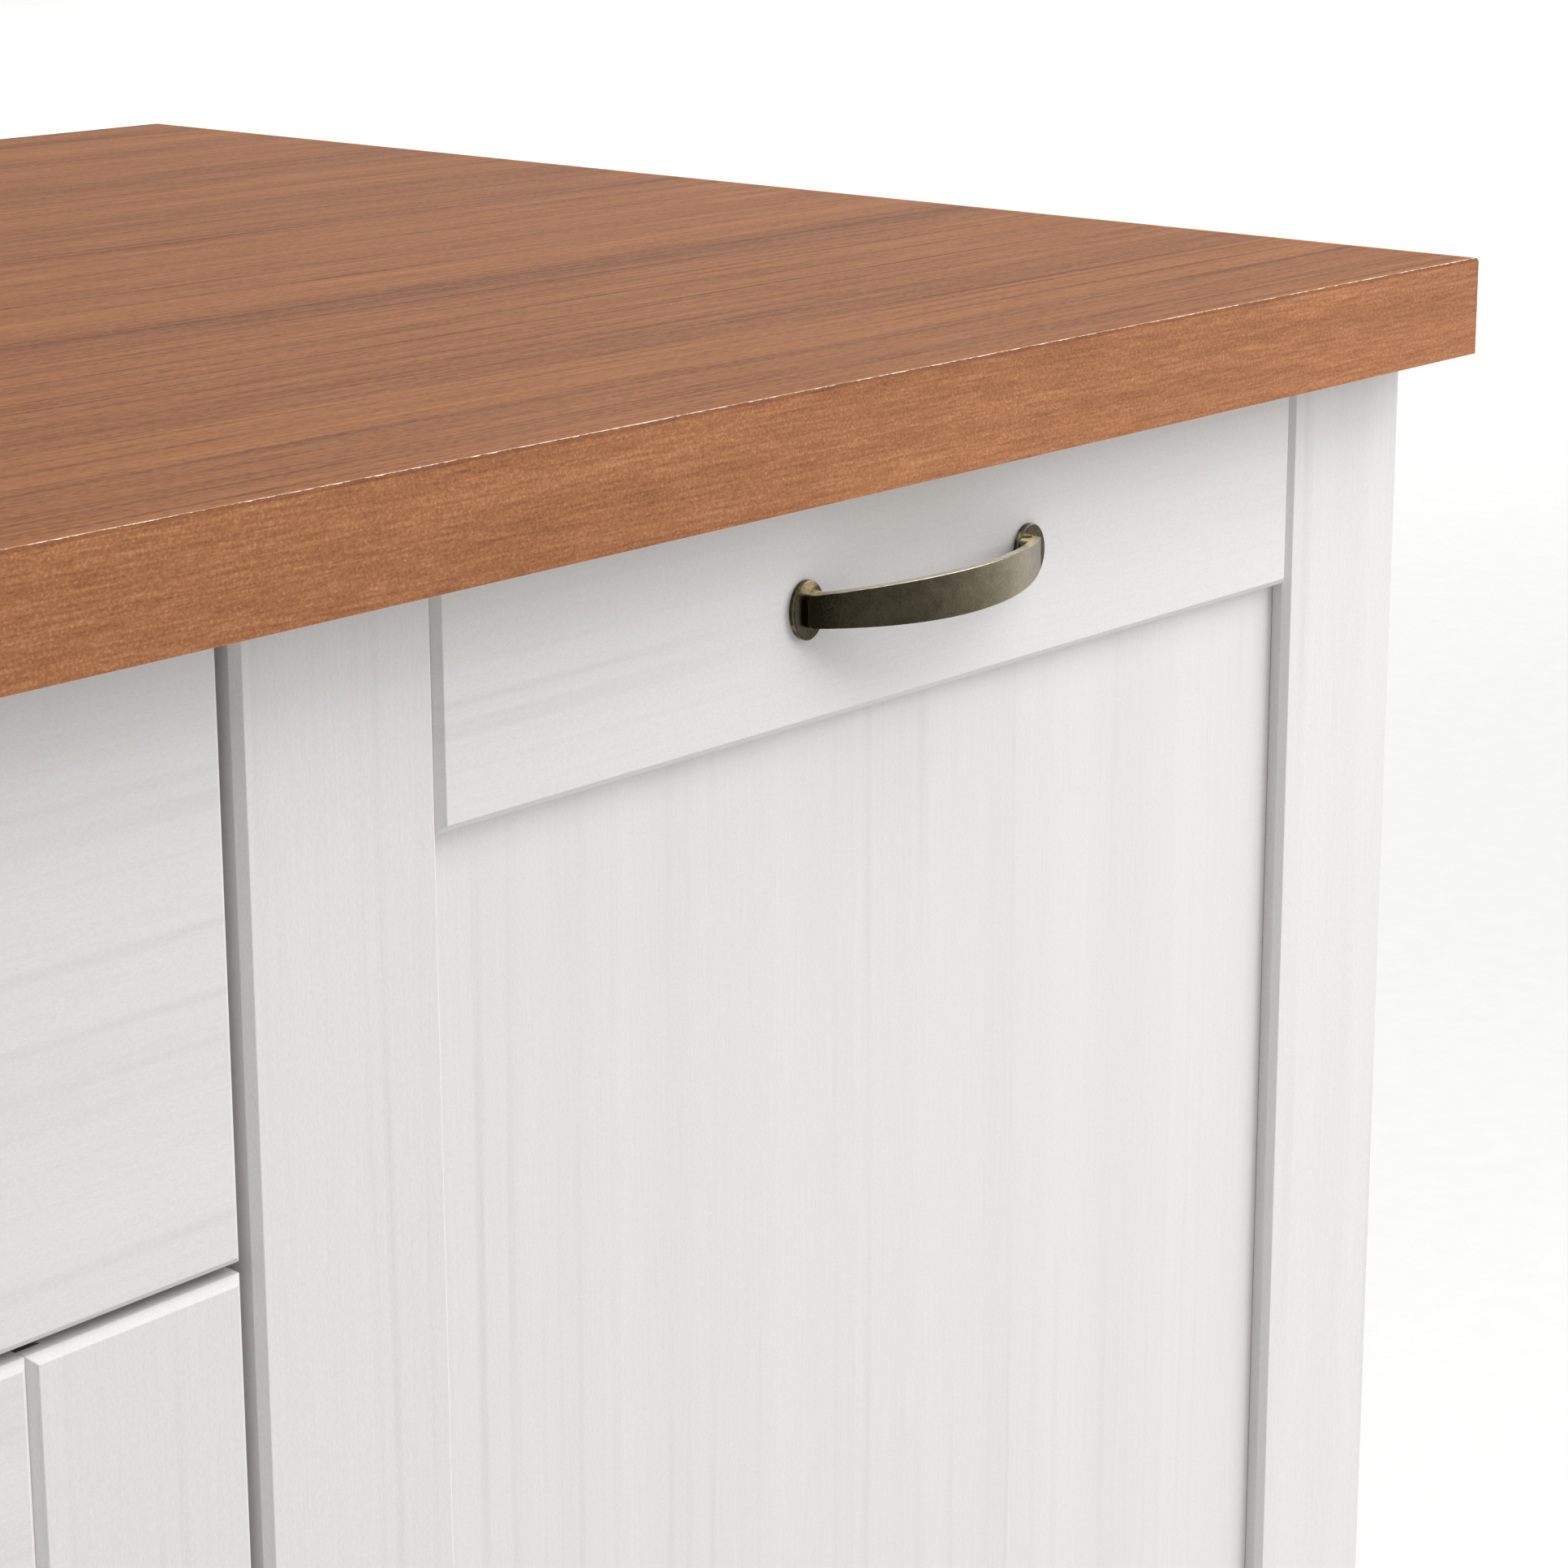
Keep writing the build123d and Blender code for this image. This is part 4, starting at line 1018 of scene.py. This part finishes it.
class CABINET_OT_fittings(bpy.types.Operator):
    """Give the runners, hinges, rollers, bins and screws their finishes, and add fixing screws"""

    bl_idname = "cabinet.fittings"
    bl_label = "Fittings"

    def execute(self, context):
        finishes = {
            "coated_steel": coated_steel_material(),
            "plated_steel": plated_steel_material(),
        }
        for slot, settings in PLASTICS.items():
            finishes[slot] = moulded_material(*settings)
        for entry in frame["record"]["subparts"]:
            if entry["material_slot"] in finishes:
                dress(entry["node"], finishes[entry["material_slot"]])
        steel = finishes["plated_steel"]
        pan, flat = model_screw(*PAN_HEAD), model_screw(*FLAT_HEAD)
        place_copies(pan, "hinge_cup_screws", self.cup_spots(), "door", steel)
        place_copies(pan, "hinge_plate_screws", self.plate_spots(), "carcass", steel)
        place_copies(flat, "runner_screws", self.runner_spots(), "carcass", steel)
        place_copies(pan, "front_plate_screws", self.frame_spots(), "pullout", steel)
        bpy.data.objects.remove(pan)
        bpy.data.objects.remove(flat)
        return {"FINISHED"}

    def cup_spots(self):
        """On the hinge cups' flanges, above and below each cup."""
        low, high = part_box("hinge_cups")
        near, far = CUP_SCREWS
        heights = (low.z + near, low.z + far, high.z - far, high.z - near)
        return [(Vector((high.x - CUP_SCREWS_IN, high.y, z)), (0, 1, 0)) for z in heights]

    def plate_spots(self):
        """On the hinge plates' wings, and on the arms where they are held and adjusted."""
        low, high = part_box("hinge_plates")
        near, far = PLATE_SCREWS
        heights = (low.z + near, low.z + far, high.z - far, high.z - near)
        spots = [(Vector((high.x, (low.y + high.y) / 2, z)), (1, 0, 0)) for z in heights]
        low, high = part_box("hinge_arms")
        for z in (low.z + ARM_SCREWS_UP, high.z - ARM_SCREWS_UP):
            spots += [(Vector((high.x, high.y - inward, z)), (1, 0, 0)) for inward in ARM_SCREWS_IN]
        return spots

    def runner_spots(self):
        """Inside the cabinet's rails, two to each."""
        spots = []
        for bay in ("drawer", "pullout"):
            for side, way in (("left", 1), ("right", -1)):
                low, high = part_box(f"{bay}_cabinet_rail_{side}")
                x = low.x + RAIL_WEB if side == "left" else high.x - RAIL_WEB
                middle = (low.y + high.y) / 2
                for y in (middle - RAIL_SCREWS_APART / 2, middle + RAIL_SCREWS_APART / 2):
                    spots.append((Vector((x, y, (low.z + high.z) / 2)), (way, 0, 0)))
        return spots

    def frame_spots(self):
        """On the plates that hold the pull-out's front to its frame, three to each."""
        low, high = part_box("pullout_frame")
        return [
            (Vector((x, low.y + FRAME_PLATE, low.z + up)), (0, 1, 0))
            for x in (low.x + FRAME_SCREWS_IN, high.x - FRAME_SCREWS_IN)
            for up in FRAME_SCREWS_UP
        ]


class CABINET_OT_stage(bpy.types.Operator):
    """Lay the studio floor, set the soft light and stand the camera"""

    bl_idname = "cabinet.stage"
    bl_label = "Stage"

    def execute(self, context):
        studio = context.scene.studio_light
        bpy.ops.object.select_all(action="DESELECT")
        bpy.ops.mesh.primitive_circle_add(
            vertices=96, radius=FLOOR_RADIUS, fill_type="NGON", location=(0, 0, 0)
        )
        floor = settle(bpy.context.object, "studio_floor", floor_material(studio))
        # metal mirrors the world under the horizon in the floor's place
        floor.visible_glossy = False
        self.light_world(context.scene)
        data = bpy.data.lights.new("top_light", "SUN")
        data.energy = studio.top_power
        # as wide as a ceiling of lamps, so that its shadows are soft
        data.angle = math.radians(70)
        self.hang(context, data, (0.1, -0.2, 1.0), (0, 0, 0))
        # each softbox: where it hangs, what it points at, its power and its side in metres
        boxes = (
            ("key_softbox", (1.47, -1.3, 1.5), (0.35, -0.3, 0.7), studio.key_power, 1.2),
            ("far_softbox", (7.5, 5.8, 5.0), (7.5, 5.8, 0.0), studio.far_power, 8.0),
        )
        for name, place, target, power, side in boxes:
            data = bpy.data.lights.new(name, "AREA")
            data.energy = power
            data.size = side
            self.hang(context, data, Vector(place) - Vector(target), place)
        self.stand_camera(context.scene)
        context.scene.view_settings.view_transform = "Standard"
        return {"FINISHED"}

    def hang(self, context, data, source, place):
        """Puts a light at its place, shining from the source's direction."""
        lamp = bpy.data.objects.new(data.name, data)
        turn = Vector(source).to_track_quat("Z", "Y").to_matrix().to_4x4()
        lamp.matrix_world = Matrix.Translation(place) @ turn
        context.collection.objects.link(lamp)

    def light_world(self, scene):
        """A pale horizon under a dim ceiling; below it, metal mirrors a dark front left."""
        world = bpy.data.worlds.new("studio")
        scene.world = world
        world.use_nodes = True
        tree = world.node_tree
        tree.nodes.clear()
        parts = add(tree, "SeparateXYZ", {"Vector": add(tree, "TexCoord").outputs["Generated"]})
        # how far a direction points to the right and back
        right = add(tree, "Math", (parts.outputs["Y"], 0.53), operation="MULTIPLY")
        right = add(tree, "Math", (parts.outputs["X"], 0.85, right), operation="MULTIPLY_ADD")
        side = add(tree, "MapRange", (right, -0.2, 1.0))
        side = add(tree, "Math", (side, 2.0), operation="POWER")
        low = add(tree, "MapRange", (side, 0.0, 1.0, 0.08, 1.45))
        high = add(tree, "MapRange", (parts.outputs["Z"], 0.06, 0.22, 0.85, 0.1))
        slope = add(tree, "MapRange", (right, -0.7, 0.6, 0.7, 1.0))
        high = add(tree, "Math", (high, slope), operation="MULTIPLY")
        above = add(tree, "Math", (parts.outputs["Z"], -0.02), operation="GREATER_THAN")
        strength = add(tree, "Mix", (above, low, high), data_type="FLOAT")
        back = add(tree, "Background", {"Color": linear("FFFFFF"), "Strength": strength})
        add(tree, "OutputWorld", {"Surface": back})

    def stand_camera(self, scene):
        """The photo's viewpoint: from the front left and above, towards the right front corner."""
        data = bpy.data.cameras.new("camera")
        data.sensor_width = 36
        data.lens = 85.27
        data.shift_y = -0.1
        data.clip_start = 0.01
        camera = bpy.data.objects.new("camera", data)
        yaw, pitch, roll = (math.radians(a) for a in (48.41, 13.51, -0.19))
        turn = Matrix.Rotation(-yaw, 4, "Z") @ Matrix.Rotation(math.pi / 2 - pitch, 4, "X")
        place = Matrix.Translation((-481.4 * MM, -872.3 * MM, 996.3 * MM))
        camera.matrix_world = place @ turn @ Matrix.Rotation(roll, 4, "Z")
        scene.collection.objects.link(camera)
        scene.camera = camera


class CABINET_PT_panel(bpy.types.Panel):
    """Lists the cabinet's finishes and the steps that make them"""

    bl_idname = "CABINET_PT_panel"
    bl_label = "Kitchen Base Cabinet"
    bl_space_type = "VIEW_3D"
    bl_region_type = "UI"
    bl_category = "Cabinet"

    def draw(self, context):
        for operator in OPERATORS:
            self.layout.operator(operator.bl_idname)
        for owner in GROUPS:
            group = getattr(context.scene, owner)
            for name in group.__annotations__:
                self.layout.prop(group, name)


OPERATORS = (
    CABINET_OT_worktop,
    CABINET_OT_fronts,
    CABINET_OT_carcass,
    CABINET_OT_handles,
    CABINET_OT_fittings,
    CABINET_OT_stage,
)
GROUPS = {"cabinet_finish": CabinetFinish, "handle_sizes": HandleSizes, "studio_light": StudioLight}


def register():
    for kind in (*GROUPS.values(), *OPERATORS, CABINET_PT_panel):
        bpy.utils.register_class(kind)
    for name, kind in GROUPS.items():
        setattr(bpy.types.Scene, name, PointerProperty(type=kind))


def unregister():
    for name in GROUPS:
        delattr(bpy.types.Scene, name)
    for kind in (CABINET_PT_panel, *reversed(OPERATORS), *reversed(list(GROUPS.values()))):
        bpy.utils.unregister_class(kind)


def main():
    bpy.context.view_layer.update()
    register()
    bpy.ops.cabinet.worktop()
    bpy.ops.cabinet.fronts()
    bpy.ops.cabinet.carcass()
    bpy.ops.cabinet.handles()
    bpy.ops.cabinet.fittings()
    bpy.ops.cabinet.stage()


if __name__ == "__main__":
    main()
